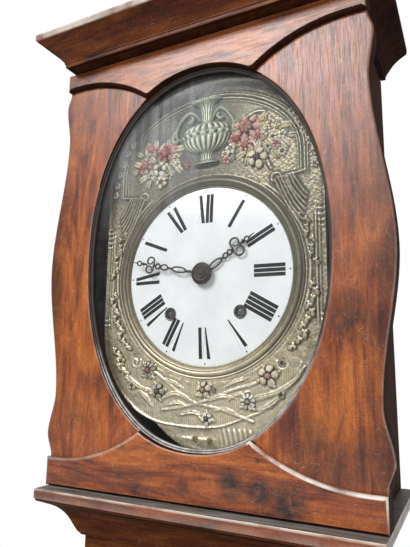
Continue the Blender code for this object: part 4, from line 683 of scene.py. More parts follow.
def painted_stroke(shape, angle, outer, inner, steps=4):
    """A closed strip of paint on the dome, between its limits at the outer and the inner radius."""
    rows = []
    for i in range(steps + 1):
        share = i / steps
        radius = NUMERAL_INNER + (NUMERAL_OUTER - NUMERAL_INNER) * share
        row = []
        for side, lift in ((0, -PAINT), (1, -PAINT), (1, PAINT), (0, PAINT)):
            aside = inner[side] + (outer[side] - inner[side]) * share
            x = radius * sin(angle) + aside * cos(angle)
            z = radius * cos(angle) - aside * sin(angle)
            row.append(shape.verts.new((x, dome(x, z) + lift, z)))
        rows.append(row)
    skin(shape, rows, caps=True)


numerals = bmesh.new()
for hour, word in enumerate(HOURS):
    width = sum(LETTER_WIDTH[letter] for letter in word) + STROKE_GAP * (len(word) - 1)
    left = -width / 2
    for letter in word:
        for outer, inner in letter_strokes(letter, left):
            painted_stroke(numerals, radians(30 * hour), outer, inner)
        left += LETTER_WIDTH[letter] + STROKE_GAP
piece("hour_numerals", raised(mesh_from(numerals, 30)), "case", "enamel", [hour_black])


def new_tree(name, **inputs):
    """A geometry node tree on the bench, the identifiers of its named inputs, and their sockets."""
    tree = Bench.tree = bpy.data.node_groups.new(name, "GeometryNodeTree")
    names = {}
    for key, kind in {"Geometry": "Geometry", **inputs}.items():
        made = tree.interface.new_socket(name=key, in_out="INPUT", socket_type="NodeSocket" + kind)
        names[key] = made.identifier
    tree.interface.new_socket(name="Geometry", in_out="OUTPUT", socket_type="NodeSocketGeometry")
    return tree, names, add("NodeGroupInput").outputs


def copied(given, points, shape, **placing):
    """Ends a tree: a shape copied to points, made real and given its finish."""
    copies = out("GeometryNodeInstanceOnPoints", {"Points": points, "Instance": shape, **placing})
    whole = out("GeometryNodeRealizeInstances", {0: copies})
    shown = out("GeometryNodeSetMaterial", {"Geometry": whole, "Material": given["Finish"]})
    add("NodeGroupOutput", {0: shown})


def ring_of_marks():
    """A node tree that sets copies of a mark round a circle that faces the front."""
    tree, names, given = new_tree("ring_of_marks", Mark="Object", Count="Int", Radius="Float",
                                  Depth="Float", Height="Float", Finish="Material")
    turn = calc("DIVIDE", out("GeometryNodeInputIndex"), given["Count"])
    turn = times(turn, 2 * pi)
    across = times(calc("SINE", turn), given["Radius"])
    up = plus(times(calc("COSINE", turn), given["Radius"]), given["Height"])
    place = out("ShaderNodeCombineXYZ", {0: across, 1: given["Depth"], 2: up})
    points = out("GeometryNodePoints", {"Count": given["Count"], "Position": place})
    lean = out("ShaderNodeCombineXYZ", {1: turn})
    mark = add("GeometryNodeObjectInfo", {"Object": given["Mark"]}).outputs["Geometry"]
    copied(given, points, mark, Rotation=lean)
    return tree, names


def grown(maker, base=None, **sizes):
    """The plain mesh that a node tree makes with its inputs set."""
    tree, names = maker
    holder = linked("grower", base or bpy.data.meshes.new("grower"))
    grower = holder.modifiers.new("grown", "NODES")
    grower.node_group = tree
    for key, value in sizes.items():
        grower[names[key]] = value
    bpy.context.view_layer.update()
    graph = bpy.context.evaluated_depsgraph_get()
    mesh = bpy.data.meshes.new_from_object(holder.evaluated_get(graph))
    holder.modifiers.clear()
    bpy.data.objects.remove(holder)
    return mesh


def stamp(name, shape):
    """An unlinked object that a node tree copies."""
    return bpy.data.objects.new(name, mesh_from(shape, 50))


def facing_front(shape):
    """Turns a shape drawn along z so that its top faces the front."""
    bmesh.ops.rotate(shape, verts=shape.verts, cent=(0, 0, 0), matrix=Matrix.Rotation(pi / 2, 3, "X"))
    return shape


def turned(profile, steps=32):
    """A lathe shape about z from points of radius and height: a ring where they come round."""
    shape = bmesh.new()
    rows = []
    hoop = profile[0] == profile[-1]
    turns = [2 * pi * i / steps for i in range(steps)]
    for radius, height in profile[:-1] if hoop else profile:
        ends = turns if radius > 1e-6 else (0,)
        rows.append([shape.verts.new((radius * cos(t), radius * sin(t), height)) for t in ends])
    skin(shape, rows, hoop, not hoop)
    return shape


def joined(meshes, sharp):
    """One mesh of several."""
    shape = bmesh.new()
    for mesh in meshes:
        shape.from_mesh(mesh)
    return mesh_from(shape, sharp)


marks = ring_of_marks()
DOT_RING, DOT_RADIUS = 0.114, 0.00105
TICK_RING, TICK_HALF = 0.1162, (0.00016, 0.0008)
dot = stamp("hour_dot", facing_front(turned([(DOT_RADIUS, -PAINT), (DOT_RADIUS, PAINT)], 12)))
dots = grown(marks, Mark=dot, Count=12, Radius=DOT_RING, Depth=dome(0, DOT_RING), Height=dial_z,
             Finish=hour_black)
piece("hour_dots", dots, "case", "enamel", [])
tick_shape = bmesh.new()
bmesh.ops.create_cube(tick_shape, size=2)
bmesh.ops.scale(tick_shape, verts=tick_shape.verts, vec=(TICK_HALF[0], PAINT, TICK_HALF[1]))
minute_grey = painted_black("minute_grey", (0.12, 0.12, 0.12))
ticks = grown(marks, Mark=stamp("minute_tick", tick_shape), Count=60,
              Radius=TICK_RING, Depth=dome(0, TICK_RING), Height=dial_z, Finish=minute_grey)
piece("minute_ticks", ticks, "case", "enamel", [])

ferrule_bronze = metal("ferrule_bronze", (0.05, 0.045, 0.04), (0.13, 0.115, 0.1), 0.4, 0.8, 200)
dull_steel = metal("dull_steel", (0.1, 0.1, 0.095), (0.2, 0.195, 0.185), 0.45, 0.8, 160)
# Radius and height of the hole's lining and of the arbor's collar, in millimetres
FERRULE = ((5, -2.4), (7.3, -2.4), (7.3, 0.2), (8.7, 0.3), (8.6, 0.8), (7.8, 1.4), (7, 1.2), (6.4, 0.6),
           (5.8, 0.9), (5.2, 0.4), (5, -2.4))
COLLAR = ((0, -3.4), (4.6, -3.4), (4.6, 0.2), (4.1, 0.7), (0, 0.7))
SQUARE_HALF, SQUARE_SUNK, SQUARE_DEEP, SQUARE_EASE, COLLAR_SUNK = 0.0022, 0.0002, 0.006, 0.0004, 0.002
for end, (x, z), barrel in (("left", WINDING_PLACES[0], "strike_barrel"),
                            ("right", WINDING_PLACES[1], "going_barrel")):
    front = dome(x, z)
    lining = moved(mesh_from(facing_front(turned(mm(FERRULE))), 40), (x, front, dial_z + z))
    piece("winding_ferrule_" + end, lining, "case", "bronze", [ferrule_bronze])
    low = (x - SQUARE_HALF, front + SQUARE_SUNK, dial_z + z - SQUARE_HALF)
    high = (x + SQUARE_HALF, dial_edge + SQUARE_DEEP, dial_z + z + SQUARE_HALF)
    square = planed_board(low, high, SQUARE_EASE, SQUARE_EASE)
    collar = moved(mesh_from(facing_front(turned(mm(COLLAR)))), (x, front + COLLAR_SUNK, dial_z + z))
    piece("winding_square_" + end, joined((square, collar), 40), barrel, "steel", [dull_steel])

# The pressed surround: thin brass stamped over dies with an arched frame, fluted shells, stems and a
# hatched ground, browned in its hollows and nailed over the edge of the dial, with painted light low
# down, painted shade towards the top, the right and over the upper left ground, and a painted reflection
# of the glass along its top edge.

SHEET = 0.002
SHEET_FRONT = dial_edge - 0.0003 - SHEET
SHEET_HALF_WIDTH, SHEET_SPRING, SHEET_TOP = 0.16, 0.15, 0.272
SHEET_SKIRT, SHEET_BOTTOM, SHEET_POWER = -0.06, -0.2, 2.3
# The lower edge and the rim above it, in millimetres
LOWER_EDGE = ((-66, -193.5), (-53, -203), (-41, -210.5), (-30, -215.5), (-10, -219.5), (20, -221),
              (50, -219), (72, -212.5), (90, -201), (106, -186), (120, -168))
RIM = ((-106, -172), (-86, -182.5), (-62, -189.5), (-41, -191.3), (-13, -192.4), (19, -190), (39, -184),
       (56, -177), (79, -168), (98, -155), (115, -134), (126, -112))
SHEET_HOLE = 0.128
# Ridges that follow the arch: inset from the edge, half width and height, in millimetres
ARCH_RIDGES = ((21, 1.3, 1.3), (24.5, 1.9, 2), (29.5, 1.5, 1.7), (33, 1, 0.9))
FILLET_RING = 139
STEMS = (
    ((-82, -123), (-70, -127), (-50, -140), (-30, -155), (-10, -163), (20, -168), (50, -176), (66, -181)),
    ((-60, -173), (-30, -168), (0, -160), (25, -150), (45, -143), (66, -137), (86, -127)),
    ((-128, -118), (-118, -133), (-98, -146), (-67, -150)),
    ((60, -158), (85, -151), (110, -138), (130, -116)), ((-92, 132), (-80, 150), (-66, 168), (-62, 176)),
    ((92, 130), (84, 146), (74, 160), (64, 176)),
    ((34, 192), (42, 190), (50, 197), (60, 206), (72, 211), (84, 209)),
)
LEAVES = (
    (((-64, -161), (-46, -152), (-30, -154), (-16, -161)), 4.4),
    (((-38, -179), (-18, -174), (2, -177)), 3.8), (((4, -160), (24, -153), (44, -155)), 3.4),
    (((62, -153), (92, -147), (112, -136), (128, -122)), 4.6),
    (((-70, -150), (-94, -146), (-112, -134), (-126, -118)), 4.2),
    (((70, -168), (88, -160), (104, -147)), 4.6), (((-100, -148), (-86, -158), (-74, -170)), 4.6),
    (((10, -172), (28, -168), (48, -174)), 3), (((-30, -145), (-46, -137), (-64, -134)), 3.2),
    (((28, -142), (44, -134), (60, -130)), 3.2), (((-56, -168), (-40, -163), (-24, -166)), 2.8),
    (((30, -160), (44, -150), (62, -146)), 2.8),
)
FLUTES = (
    ((97, 114), (104, 98), (114, 77), (127, 55)), ((101, 117), (108, 99), (118, 78), (130, 60)),
    ((105, 117), (112, 100), (122, 80), (132, 66)), ((109, 117), (116, 100), (125, 84), (134, 72)),
    ((113, 116), (119, 101), (128, 87), (135, 78)), ((117, 116), (123, 103), (130, 92), (136, 85)),
    ((121, 116), (127, 106), (132, 97), (137, 91)), ((112, 118), (124, 119), (137, 121)),
)


def along_path(x, z, path):
    """Each place's distance from a path, and its share of the way along."""
    path = np.array(path)
    spans = np.diff(path, axis=0)
    lengths = np.linalg.norm(spans, axis=1)
    run = np.concatenate([[0], np.cumsum(lengths)])
    nearest = np.full(len(x), 1e9)
    share = np.zeros(len(x))
    for start, span, length, before in zip(path, spans, lengths, run):
        t = np.clip(((x - start[0]) * span[0] + (z - start[1]) * span[1]) / length ** 2, 0, 1)
        away = np.hypot(x - start[0] - t * span[0], z - start[1] - t * span[1])
        closer = away < nearest
        nearest = np.where(closer, away, nearest)
        share = np.where(closer, (before + t * length) / run[-1], share)
    return nearest, share


def bead(distance, half, height):
    """A half-round ridge's height at a distance from its line."""
    return height * np.sqrt(np.clip(1 - (distance / half) ** 2, 0, None))


def spiral(centre, radius, turns, start, side):
    """A volute's path, drawing in from a radius."""
    steps = int(turns * 20)
    path = []
    for i in range(steps + 1):
        share = i / steps
        turn = start + side * 2 * pi * turns * share
        curl = radius * (1 - 0.8 * share)
        path.append((centre[0] + curl * cos(turn), centre[1] + curl * sin(turn)))
    return path


half_turn = [pi * i / 90 for i in range(91)]
arch = [(SHEET_HALF_WIDTH * cos(t), SHEET_SPRING + (SHEET_TOP - SHEET_SPRING) * sin(t)) for t in half_turn]
skirt = []
for t in half_turn:
    x = -SHEET_HALF_WIDTH * copysign(abs(cos(t)) ** (2 / SHEET_POWER), cos(t))
    skirt.append((x, SHEET_SKIRT + (SHEET_BOTTOM - SHEET_SKIRT) * sin(t) ** (2 / SHEET_POWER)))
lower_edge = [(x * MM, z * MM) for x, z in smooth_path(LOWER_EDGE, 5)]
sheet_outline = arch + [p for p in skirt if p[0] < lower_edge[0][0] - 0.002] + lower_edge
sheet_outline += [p for p in skirt if p[0] > lower_edge[-1][0] + 0.002]
edge_path = np.array(sheet_outline + sheet_outline[:1]) / MM


def pressed_height(x, z):
    """How far the sheet is pressed forward at places in millimetres from the dial's centre."""
    aside = np.abs(x)
    radius = np.hypot(x, z)
    edge, _ = along_path(x, z, edge_path)
    height = 1.2 * np.exp(-((edge - 2) / 2) ** 2)
    upper = np.clip((z - 112) / 12, 0, 1)
    for inset, half, high in ARCH_RIDGES:
        height = np.maximum(height, upper * bead(np.abs(edge - inset), half, high))
    away, _ = along_path(x, z, smooth_path(RIM))
    height = np.maximum(height, bead(away, 1.8, 1.7) * np.clip((130 - x) / 70, 0.35, 1))
    below = np.clip((np.interp(x, *np.array(RIM, float).T) - z) / 2.5, 0, 1) * (z < -110)
    height = height - 0.9 * below * (away > 1.5)
    side = np.clip((75 - np.abs(z)) / 20, 0, 1)
    for place, half, high in ((147, 1.6, 1.6), (151, 1.1, 1), (155, 0.9, 0.8)):
        height = np.maximum(height, side * bead(np.abs(aside - place), half, high))
    ringed = np.clip((112 - z) / 8, 0, 1) * np.clip((z + 70) / 30, 0.25, 1)
    height = np.maximum(height, ringed * bead(np.abs(radius - FILLET_RING), 2, 1.9))
    height = np.maximum(height, bead(np.abs(radius - 134.5), 1.1, 0.9))
    for path in FLUTES:
        away, share = along_path(aside, z, smooth_path(path))
        height = np.maximum(height, bead(away, 1.95, 3.9) * (1 - 0.45 * share))
    volute, _ = along_path(aside, z, spiral((97, 116), 9, 1.1, radians(-30), 1))
    height = np.maximum(height, bead(volute, 2, 1.7))
    curl, _ = along_path(aside, z, spiral((104, -113), 8, 1.2, radians(160), 1))
    height = np.maximum(height, bead(curl, 1.9, 1.1))
    for path in STEMS:
        away, _ = along_path(x, z, smooth_path(path))
        height = np.maximum(height,
                            bead(away, 2, 2.5) - 0.8 * np.exp(-((away - 0.3) / 0.5) ** 2) * (away < 2))
    for path, half in LEAVES:
        away, share = along_path(x, z, smooth_path(path))
        wide = half * np.sin(pi * np.clip(share, 0.02, 0.98)) ** 0.7
        blade = 2.4 * np.clip(1 - (away / wide) ** 2, 0, None) ** 0.6
        veins = 0.8 * np.exp(-(away / 0.8) ** 2) + 0.25 * np.cos(2 * pi * away / 3)
        height = np.maximum(height, blade - veins * (blade > 0))
    ribs = np.clip((-190 - z) / 4, 0, 1) * np.clip((x - 20) / 6, 0,
                                                   1) * np.clip((72 - x) / 8, 0, 1) * (edge > 2)
    height += ribs * (0.6 + 1 * np.cos(2 * pi * (x + 0.25 * z) / 7))
    height -= 1.5 * np.exp(-(((x + 9) / 27) ** 4 + ((z + 200) / 5) ** 4))
    for low, high in ((48, 76), (-66, -50)):
        height += np.exp(-((aside - 155) / 5) ** 2) * (z > low) * (z < high) * 0.8 * np.cos(2 * pi * z / 7)
    flat = np.clip(1 - height / 0.7, 0, 1)
    height += flat * np.where((z < -112) & (below < 0.1), 0.36 * np.sin(2 * pi * x / 3), 0)
    height -= 1.6 * np.exp(-((x / 20) ** 4 + ((z - 148) / 3) ** 2))
    uneven = np.sin(0.83 * x + 1.4 * np.sin(0.61 * z)) * np.sin(0.97 * z + 1.2 * np.sin(0.53 * x))
    uneven += 0.6 * np.sin(0.31 * x + 2 * np.sin(0.23 * z)) * np.sin(0.37 * z + 1.7 * np.sin(0.29 * x))
    return height + 0.2 * uneven


def sheet_height(x, z):
    return SHEET_FRONT - MM * pressed_height(x / MM, z / MM)


def hollowness(x, z, reach=3):
    """How much lower a place lies than its neighbourhood, in millimetres."""
    x, z = x / MM, z / MM
    here = pressed_height(x, z)
    turns = [pi * i / 3 for i in range(6)]
    around = sum(pressed_height(x + reach * cos(t), z + reach * sin(t)) for t in turns) / 6
    return around - here


def aged_brass(name, tone=1, shade_band=(-0.08, 0.16), shade_depth=0.7):
    """Pressed brass with a dull gold skin, rubbed pale, browned in its hollows; painted light below,
    painted shade above and a painted reflection of the glass along the top.
    """
    made, shader = new_material(name)
    place = object_place()
    mottle = clouds(place, 120, 6, 0.68)
    shades = [toned(shade, tone) for shade in ((0.3, 0.25, 0.15), (0.68, 0.59, 0.39))]
    colour = ramp(mottle, [(0.34, shades[0]), (0.66, shades[1])])
    low = attribute("hollow")
    paleness = remap(plus(low, times(mottle, 0.6)), 0.1, -0.9)
    colour = mixed(paleness, colour, toned((0.88, 0.8, 0.6), tone))
    dirty = remap(plus(low, times(mottle, 0.5)), 0.25, 0.9)
    colour = mixed(dirty, colour, (0.06, 0.046, 0.03))
    up = add("ShaderNodeSeparateXYZ", {0: place}).outputs[2]
    # Paler towards the bottom of the sheet, where light from above falls on it: painted light.
    colour = mixed(remap(up, dial_z - 0.09, dial_z - 0.15, 0, 0.42), colour, (0.7, 0.62, 0.45))
    # Darker towards the top, and a little towards the right, under the hood's top rail: painted shade.
    across = out("ShaderNodeSeparateXYZ", {0: place})
    up = plus(up, remap(across, 0.07, 0.15, 0, 0.05))
    painted_shade = remap(plus(up, times(mottle, 0.08)), *(dial_z + z for z in shade_band))
    colour = mixed(painted_shade, colour, mixed(shade_depth, colour, (0.065, 0.058, 0.042)))
    # The flat ground at the upper left painted darker, ridges spared: painted shade and a dark painted
    # reflection.
    ground = times(spot(place, (-0.05, dial_z + 0.21), 0.14), remap(low, -0.7, 0, 0, 0.85))
    colour = mixed(ground, colour, (0.05, 0.048, 0.042))
    # Pale along the sheet's top edge: a painted reflection of the glass.
    painted_glass_reflection = remap(up, dial_z + 0.247, dial_z + 0.268, 0, 1.2)
    colour = mixed(times(painted_glass_reflection, mottle), colour, (0.85, 0.84, 0.78))
    green = remap(clouds(place, 24, 3), 0.54, 0.7, 0, 0.35)
    colour = mixed(green, colour, (0.19, 0.2, 0.14))
    plug(shader, "Base Color", colour)
    dulled = calc("MAXIMUM", dirty, ground)
    plug(shader, "Metallic", remap(dulled, 0, 0.8, 0.7, 0.05))
    plug(shader, "Roughness", remap(plus(mottle, dulled), 0.3, 1.2, 0.3, 0.75))
    bumped(shader, clouds(place, 700, 3), 0.25, 0.0004)
    return made


pressed_brass = aged_brass("pressed_brass")
sheet_mesh = relief_sheet([sheet_outline, ring(SHEET_HOLE, 220, clockwise=True)], 0.00125,
                          sheet_height, SHEET_FRONT + SHEET, {"hollow": hollowness})
piece("pressed_sheet", raised(sheet_mesh), "case", "pressed_brass", [pressed_brass], "dial_surround")

# The bezel: a ring of brass spun over the edge of the enamel, a thin bead inside, a milled slope, a round
# olive band and a fillet outside.

BEZEL_STEPS = 240
# Radius and height above the dial's edge in millimetres, and how hollow or rubbed each ring is
BEZEL = ((117.6, 0.3, 0.6), (117.7, 1.6, 0), (118.3, 2.3, -0.7), (119, 2.1, -0.3), (119.4, 1.7, 0.8),
         (120.2, 2.2, 0.2), (121.6, 3.4, 0), (122.8, 4.5, 0), (123.3, 4.6, 0.9), (123.7, 5.2, 0.5),
         (124.6, 6.4, -0.1), (125.8, 7, -0.4), (127.2, 7, -0.1), (128.6, 6.3, 0.2), (129.7, 5.2, 0.4),
         (130.4, 4.2, 0.9), (131, 4.1, 0.9), (131.5, 4.5, -0.2), (132.4, 4.6, -0.5), (133.2, 4, -0.1),
         (133.7, 2.8, 0.5), (133.8, 0.2, 0.9))
bezel_shape = bmesh.new()
bezel_hollow = bezel_shape.verts.layers.float.new("hollow")
bezel_rows = []
for radius, high, low in BEZEL:
    row = [bezel_shape.verts.new((x, dial_edge - 0.0004 - high * MM, z)) for x,
           z in ring(radius * MM, BEZEL_STEPS)]
    for v in row:
        v[bezel_hollow] = low
    bezel_rows.append(row)
skin(bezel_shape, bezel_rows, hoop=True)
# Its upper part painted darker as shade, its lower part paler as light.
bezel_brass = aged_brass("bezel_brass", 1.15, (-0.12, 0.05), 0.82)
piece("spun_bezel", raised(mesh_from(bezel_shape, 40)), "case", "pressed_brass", [bezel_brass])
MILL_BEADS, MILL_RING, MILL_AHEAD = 250, 0.1212, 0.0034
MILL_BEAD = ((1, -0.6), (0.9, 0.3), (0.5, 0.7), (0, 0.8))
mill_bead = stamp("mill_bead", facing_front(turned(mm(MILL_BEAD), 8)))
mill_mesh = grown(marks, Mark=mill_bead, Count=MILL_BEADS, Radius=MILL_RING,
                  Depth=dial_edge - MILL_AHEAD, Height=dial_z, Finish=bezel_brass)
piece("milled_beads", mill_mesh, "case", "pressed_brass", [])

# The urn: pressed higher than the sheet and painted a green that has gone grey, with a beaded lip, two
# tiers of lobes with a narrow lobed belt between, a fluted neck and stem, and two scrolled handles.

URN_DEPTH = 0.34
URN_PROFILE = ((151, 20), (153, 19), (155, 14), (158, 9.5), (163, 9), (166, 12), (168, 17), (171, 25),
               (176, 32), (183, 36.5), (188, 38), (189.5, 37), (191, 38.8), (193, 38.8), (195, 36),
               (199, 35), (204, 29), (208, 19), (210, 12), (213, 8.5), (220, 8), (228, 9), (234, 12),
               (238, 19), (240, 24.5), (242.5, 25), (244.5, 23))
URN_STEPS = 84
# Tiers of lobes and flutes: lowest and highest place, number across, depth
URN_LOBES = ((168, 188, 13, 0.13), (188.5, 194, 9, 0.15), (194.5, 208, 11, 0.13), (156, 166, 7, 0.1),
             (211, 237, 7, 0.12), (239, 244.5, 22, 0.06))


def urn_lobe(height, turn):
    """How far the lobes swell or sink the urn at a height and a turn."""
    for low, high, count, deep in URN_LOBES:
        if low <= height <= high:
            swell = sin(pi * (height - low) / (high - low)) ** 0.6
            return deep * swell * (abs(cos(count * turn)) ** 0.8 - 0.6)
    return 0


urn_shape = bmesh.new()
urn_hollow = urn_shape.verts.layers.float.new("hollow")
urn_rows = []
for height, radius in smooth_path(URN_PROFILE, 4):
    row = []
    for i in range(URN_STEPS + 1):
        turn = pi * (i / URN_STEPS - 0.5)
        lobe = urn_lobe(height, turn)
        x = radius * (1 + 0.3 * lobe) * sin(turn)
        ahead = radius * (1 + 3 * lobe) * cos(turn) * URN_DEPTH
        v = urn_shape.verts.new((x * MM, SHEET_FRONT + 0.0006 - ahead * MM, height * MM))
        # Below zero on lobe crests, painted pale as a highlight; rising to the urn's sides, painted darker.
        v[urn_hollow] = -11 * lobe + 0.5 * abs(sin(turn)) ** 4
        row.append(v)
    urn_rows.append(row)
skin(urn_shape, urn_rows, caps=True)


def aged_paint(name, tint, bare_share=0.5):
    """Thin old oil paint on pressed brass, rubbed to metal on its heights and dirty in its folds."""
    made, shader = new_material(name, 0.4)
    place = object_place()
    mottle = clouds(place, 210, 5, 0.65)
    fold = attribute("hollow")
    colour = tint(mottle, fold)
    dirty = remap(plus(fold, times(mottle, 0.9)), 0.48, 0.95, 0, 0.95)
    colour = mixed(dirty, colour, (0.04, 0.033, 0.025))
    bare = remap(calc("SUBTRACT", mottle, fold), 0.66, 0.92, 0, bare_share)
    colour = mixed(bare, colour, (0.74, 0.69, 0.54))
    plug(shader, "Base Color", colour)
    plug(shader, "Metallic", times(bare, 0.6))
    bumped(shader, mottle, 0.25, 0.0005)
    return made


def urn_tint(mottle, fold):
    """Grey-green paint, with a painted highlight on the lobes."""
    colour = ramp(mottle, [(0.34, (0.085, 0.105, 0.065)), (0.5, (0.17, 0.2, 0.13)),
                           (0.66, (0.33, 0.34, 0.24))])
    # Paler where the lobes swell: a painted highlight.
    return mixed(remap(fold, 0.05, -0.42, 0, 0.85), colour, (0.58, 0.6, 0.45))


urn_green = aged_paint("urn_green", urn_tint, 0.35)
piece("pressed_urn", raised(mesh_from(urn_shape, 50)), "case", "pressed_brass", [urn_green])

HANDLES = (
    ((-9, 213), (-15, 222), (-24, 228), (-34, 224), (-42, 214), (-46, 203), (-45, 194), (-38, 190)),
    ((9, 213), (14, 222), (21, 227), (29, 222), (36, 213), (41, 203), (42, 195), (37, 190)),
    ((-44, 208), (-50, 202), (-52, 194), (-47, 189), (-43, 193)),
    ((-30, 216), (-24, 214), (-20, 219), (-24, 223)),
    ((40, 206), (47, 200), (48, 193), (44, 190), (41, 194)), ((27, 214), (21, 212), (17, 217), (21, 221)),
)


def pressed_tube(shape, path, thick, high):
    """A half-sunk round ridge along a path in millimetres, tapering to its ends."""
    path = [Vector((p[0], 0, p[1])) for p in path]
    rows = []
    for i, here in enumerate(path):
        ahead = (path[min(i + 1, len(path) - 1)] - path[max(i - 1, 0)]).normalized()
        side = Vector((-ahead.z, 0, ahead.x))
        half = thick * (0.35 + 0.65 * sin(pi * i / (len(path) - 1)) ** 0.6)
        turns = [2 * pi * k / 10 for k in range(10)]
        row = [here + side * half * cos(t) - Vector((0, high + half * sin(t), 0)) for t in turns]
        rows.append([shape.verts.new((p.x * MM, SHEET_FRONT + p.y * MM, p.z * MM)) for p in row])
    skin(shape, rows, caps=True)


handle_shape = bmesh.new()
for path in HANDLES:
    pressed_tube(handle_shape, smooth_path(path), 2.6, 2.2)
piece("urn_handles", raised(mesh_from(handle_shape, 60)), "case", "pressed_brass", [urn_green])

# The flowers: roses, lilies, daisies, open flowers, leaves and husks pressed up in six dies, the flowers
# painted by hand in reds, pinks, creams and whites, most of it faded, with husks strung down the sides.

RED, DUSKY, PINK = (0.36, 0.04, 0.034), (0.42, 0.15, 0.12), (0.6, 0.31, 0.26)
CREAM, WHITE, STRAW = (0.72, 0.63, 0.45), (0.76, 0.73, 0.6), (0.66, 0.54, 0.27)
GREY, OCHRE, DARK_EYE, GOLD_EYE = ((0.42, 0.39, 0.28), (0.38, 0.27, 0.11), (0.1, 0.075, 0.05),
                                   (0.44, 0.32, 0.12))
GREEN, BROWN = (0.13, 0.15, 0.085), (0.2, 0.165, 0.1)
# Die, x and z in millimetres from the dial's centre, radius, turn in degrees, petal colour, eye colour
BLOOMS = (
    ("lily", -62, 177, 16, 10, RED, RED), ("lily", -87, 187, 11, 60, RED, DUSKY),
    ("lily", -97, 164, 13, 140, DUSKY, RED), ("rose", -50, 181, 7, 90, RED, RED),
    ("open", -104, 160, 8, 30, DUSKY, RED), ("open", -30, 154, 6.5, 20, RED, GOLD_EYE),
    ("open", -47, 168, 7.5, 0, STRAW, GOLD_EYE), ("open", -45, 157, 7, 40, CREAM, GOLD_EYE),
    ("open", -72, 155, 12, 15, WHITE, DARK_EYE), ("open", -70, 136, 10, 50, CREAM, DARK_EYE),
    ("open", -88, 148, 6, 0, GREY, DARK_EYE), ("open", -58, 143, 6, 10, GREY, DARK_EYE),
    ("lily", 60, 190, 20, 12, PINK, DUSKY), ("lily", 45, 178, 12, 70, DUSKY, RED),
    ("lily", 74, 176, 10, 130, PINK, RED), ("lily", 57, 168, 11, 200, PINK, DUSKY),
    ("open", 36, 166, 8, 0, WHITE, GOLD_EYE), ("open", 28, 160, 6, 30, CREAM, GOLD_EYE),
    ("open", 30, 152, 6.5, 10, PINK, DUSKY), ("open", 74, 147, 14.5, 20, CREAM, DARK_EYE),
    ("open", 92, 191, 7, 0, CREAM, GOLD_EYE), ("open", 101, 182, 7, 30, STRAW, GOLD_EYE),
    ("open", 95, 172, 7, 60, CREAM, DARK_EYE), ("open", 107, 173, 6.5, 15, WHITE, GOLD_EYE),
    ("open", 87, 181, 6.5, 45, CREAM, GOLD_EYE), ("open", 99, 162, 7, 0, PINK, DUSKY),
    ("rose", 82, 199, 7, 0, OCHRE, OCHRE), ("open", 56, 151, 7.5, 0, STRAW, DARK_EYE),
    ("daisy", 107, 150, 7, 0, CREAM, DARK_EYE), ("open", 88, 160, 6, 0, GREY, DARK_EYE),
    ("open", 0, -146, 11.5, 0, CREAM, PINK), ("rose", 13, -146, 4.5, 0, BROWN, DARK_EYE),
    ("daisy", -82, -123, 12.5, 0, GREY, DUSKY), ("open", -67, -150, 11.5, 20, GREY, DARK_EYE),
    ("open", 86, -127, 14, 10, CREAM, PINK), ("daisy", 60, -158, 11, 0, WHITE, GREY),
    ("open", 5, -181, 9, 40, WHITE, DARK_EYE), ("daisy", 103, -112, 6, 0, GREY, DARK_EYE),
    ("open", -128, -112, 8, 0, STRAW, DARK_EYE), ("open", -108, -143, 7, 0, CREAM, DARK_EYE),
    ("open", 101, -148, 6.5, 0, GREY, DARK_EYE), ("daisy", -12, -206, 4.2, 0, GOLD_EYE, GOLD_EYE),
    ("daisy", 8, -207, 4.2, 0, GOLD_EYE, GOLD_EYE),
)
ROSETTES = ((120, 201), (128, 188), (135, 173), (142, 158), (146, 142), (147.5, 127))
# Paths of the garlands down the sides, and their husks' length
GARLANDS = ((((130, 66), (136, 50), (140, 34), (143, 16), (144, 2)), 8),
            (((144, -20), (142, -36), (138, -52), (132, -68), (125, -84), (116, -98)), 9),
            (((-136, -96), (-132, -110), (-122, -126), (-110, -140)), 9))
# Clusters of leaves behind the flowers: centre, reach across and up, and number
CLUSTERS = ((-78, 166, 40, 32, 30), (74, 172, 46, 30, 36))


def bloom_die(name, outline, swell, rings_count=12, steps=50):
    """A flower of unit radius facing the front; swell gives each place's height and fold depth."""
    shape = bmesh.new()
    fold = shape.verts.layers.float.new("hollow")
    ray = shape.verts.layers.float.new("ray")
    centre_high, centre_fold = swell(0, 0)
    centre = shape.verts.new((0, -centre_high, 0))
    centre[fold] = centre_fold
    rows = [[centre]]
    for k in range(1, rings_count + 1):
        share = k / rings_count
        row = []
        for i in range(steps):
            turn = 2 * pi * i / steps
            radius = share * (1 + (outline(turn) - 1) * share)
            high, deep = swell(share, turn)
            v = shape.verts.new((radius * sin(turn), -high, radius * cos(turn)))
            v[fold] = deep
            v[ray] = share
            row.append(v)
        rows.append(row)
    rows.append([shape.verts.new((v.co.x * 0.96, 0.15, v.co.z * 0.96)) for v in rows[-1]])
    skin(shape, rows, caps=True)
    return stamp(name, shape)


def petals(count):
    """An open flower's outline and swell, its petals a little uneven."""
    def outline(turn):
        return 0.68 + 0.32 * abs(cos(count * turn / 2)) ** 0.6 - 0.06 * cos(3 * turn + 1)

    def swell(share, turn):
        gap = 1 - abs(cos(count * turn / 2))
        cup = 0.2 + 0.28 * sin(pi * min(1, 0.15 + 0.85 * share)) + 0.05 * sin(2 * turn)
        crease = gap ** 2.5 * min(1, share / 0.35)
        eye = 0.26 * exp(-(share / 0.2) ** 2)
        rim = exp(-((share - 0.32) / 0.08) ** 2)
        lip = max(0, share - 0.8) * 1.5
        vein = 0.16 * cos(count * turn) * sin(pi * share)
        outer = 0.7 * share ** 10
        high = cup * (1 - 0.75 * crease) + eye - 0.05 * rim
        return high, crease + 0.6 * rim - 0.35 * lip + vein + outer

    return outline, swell


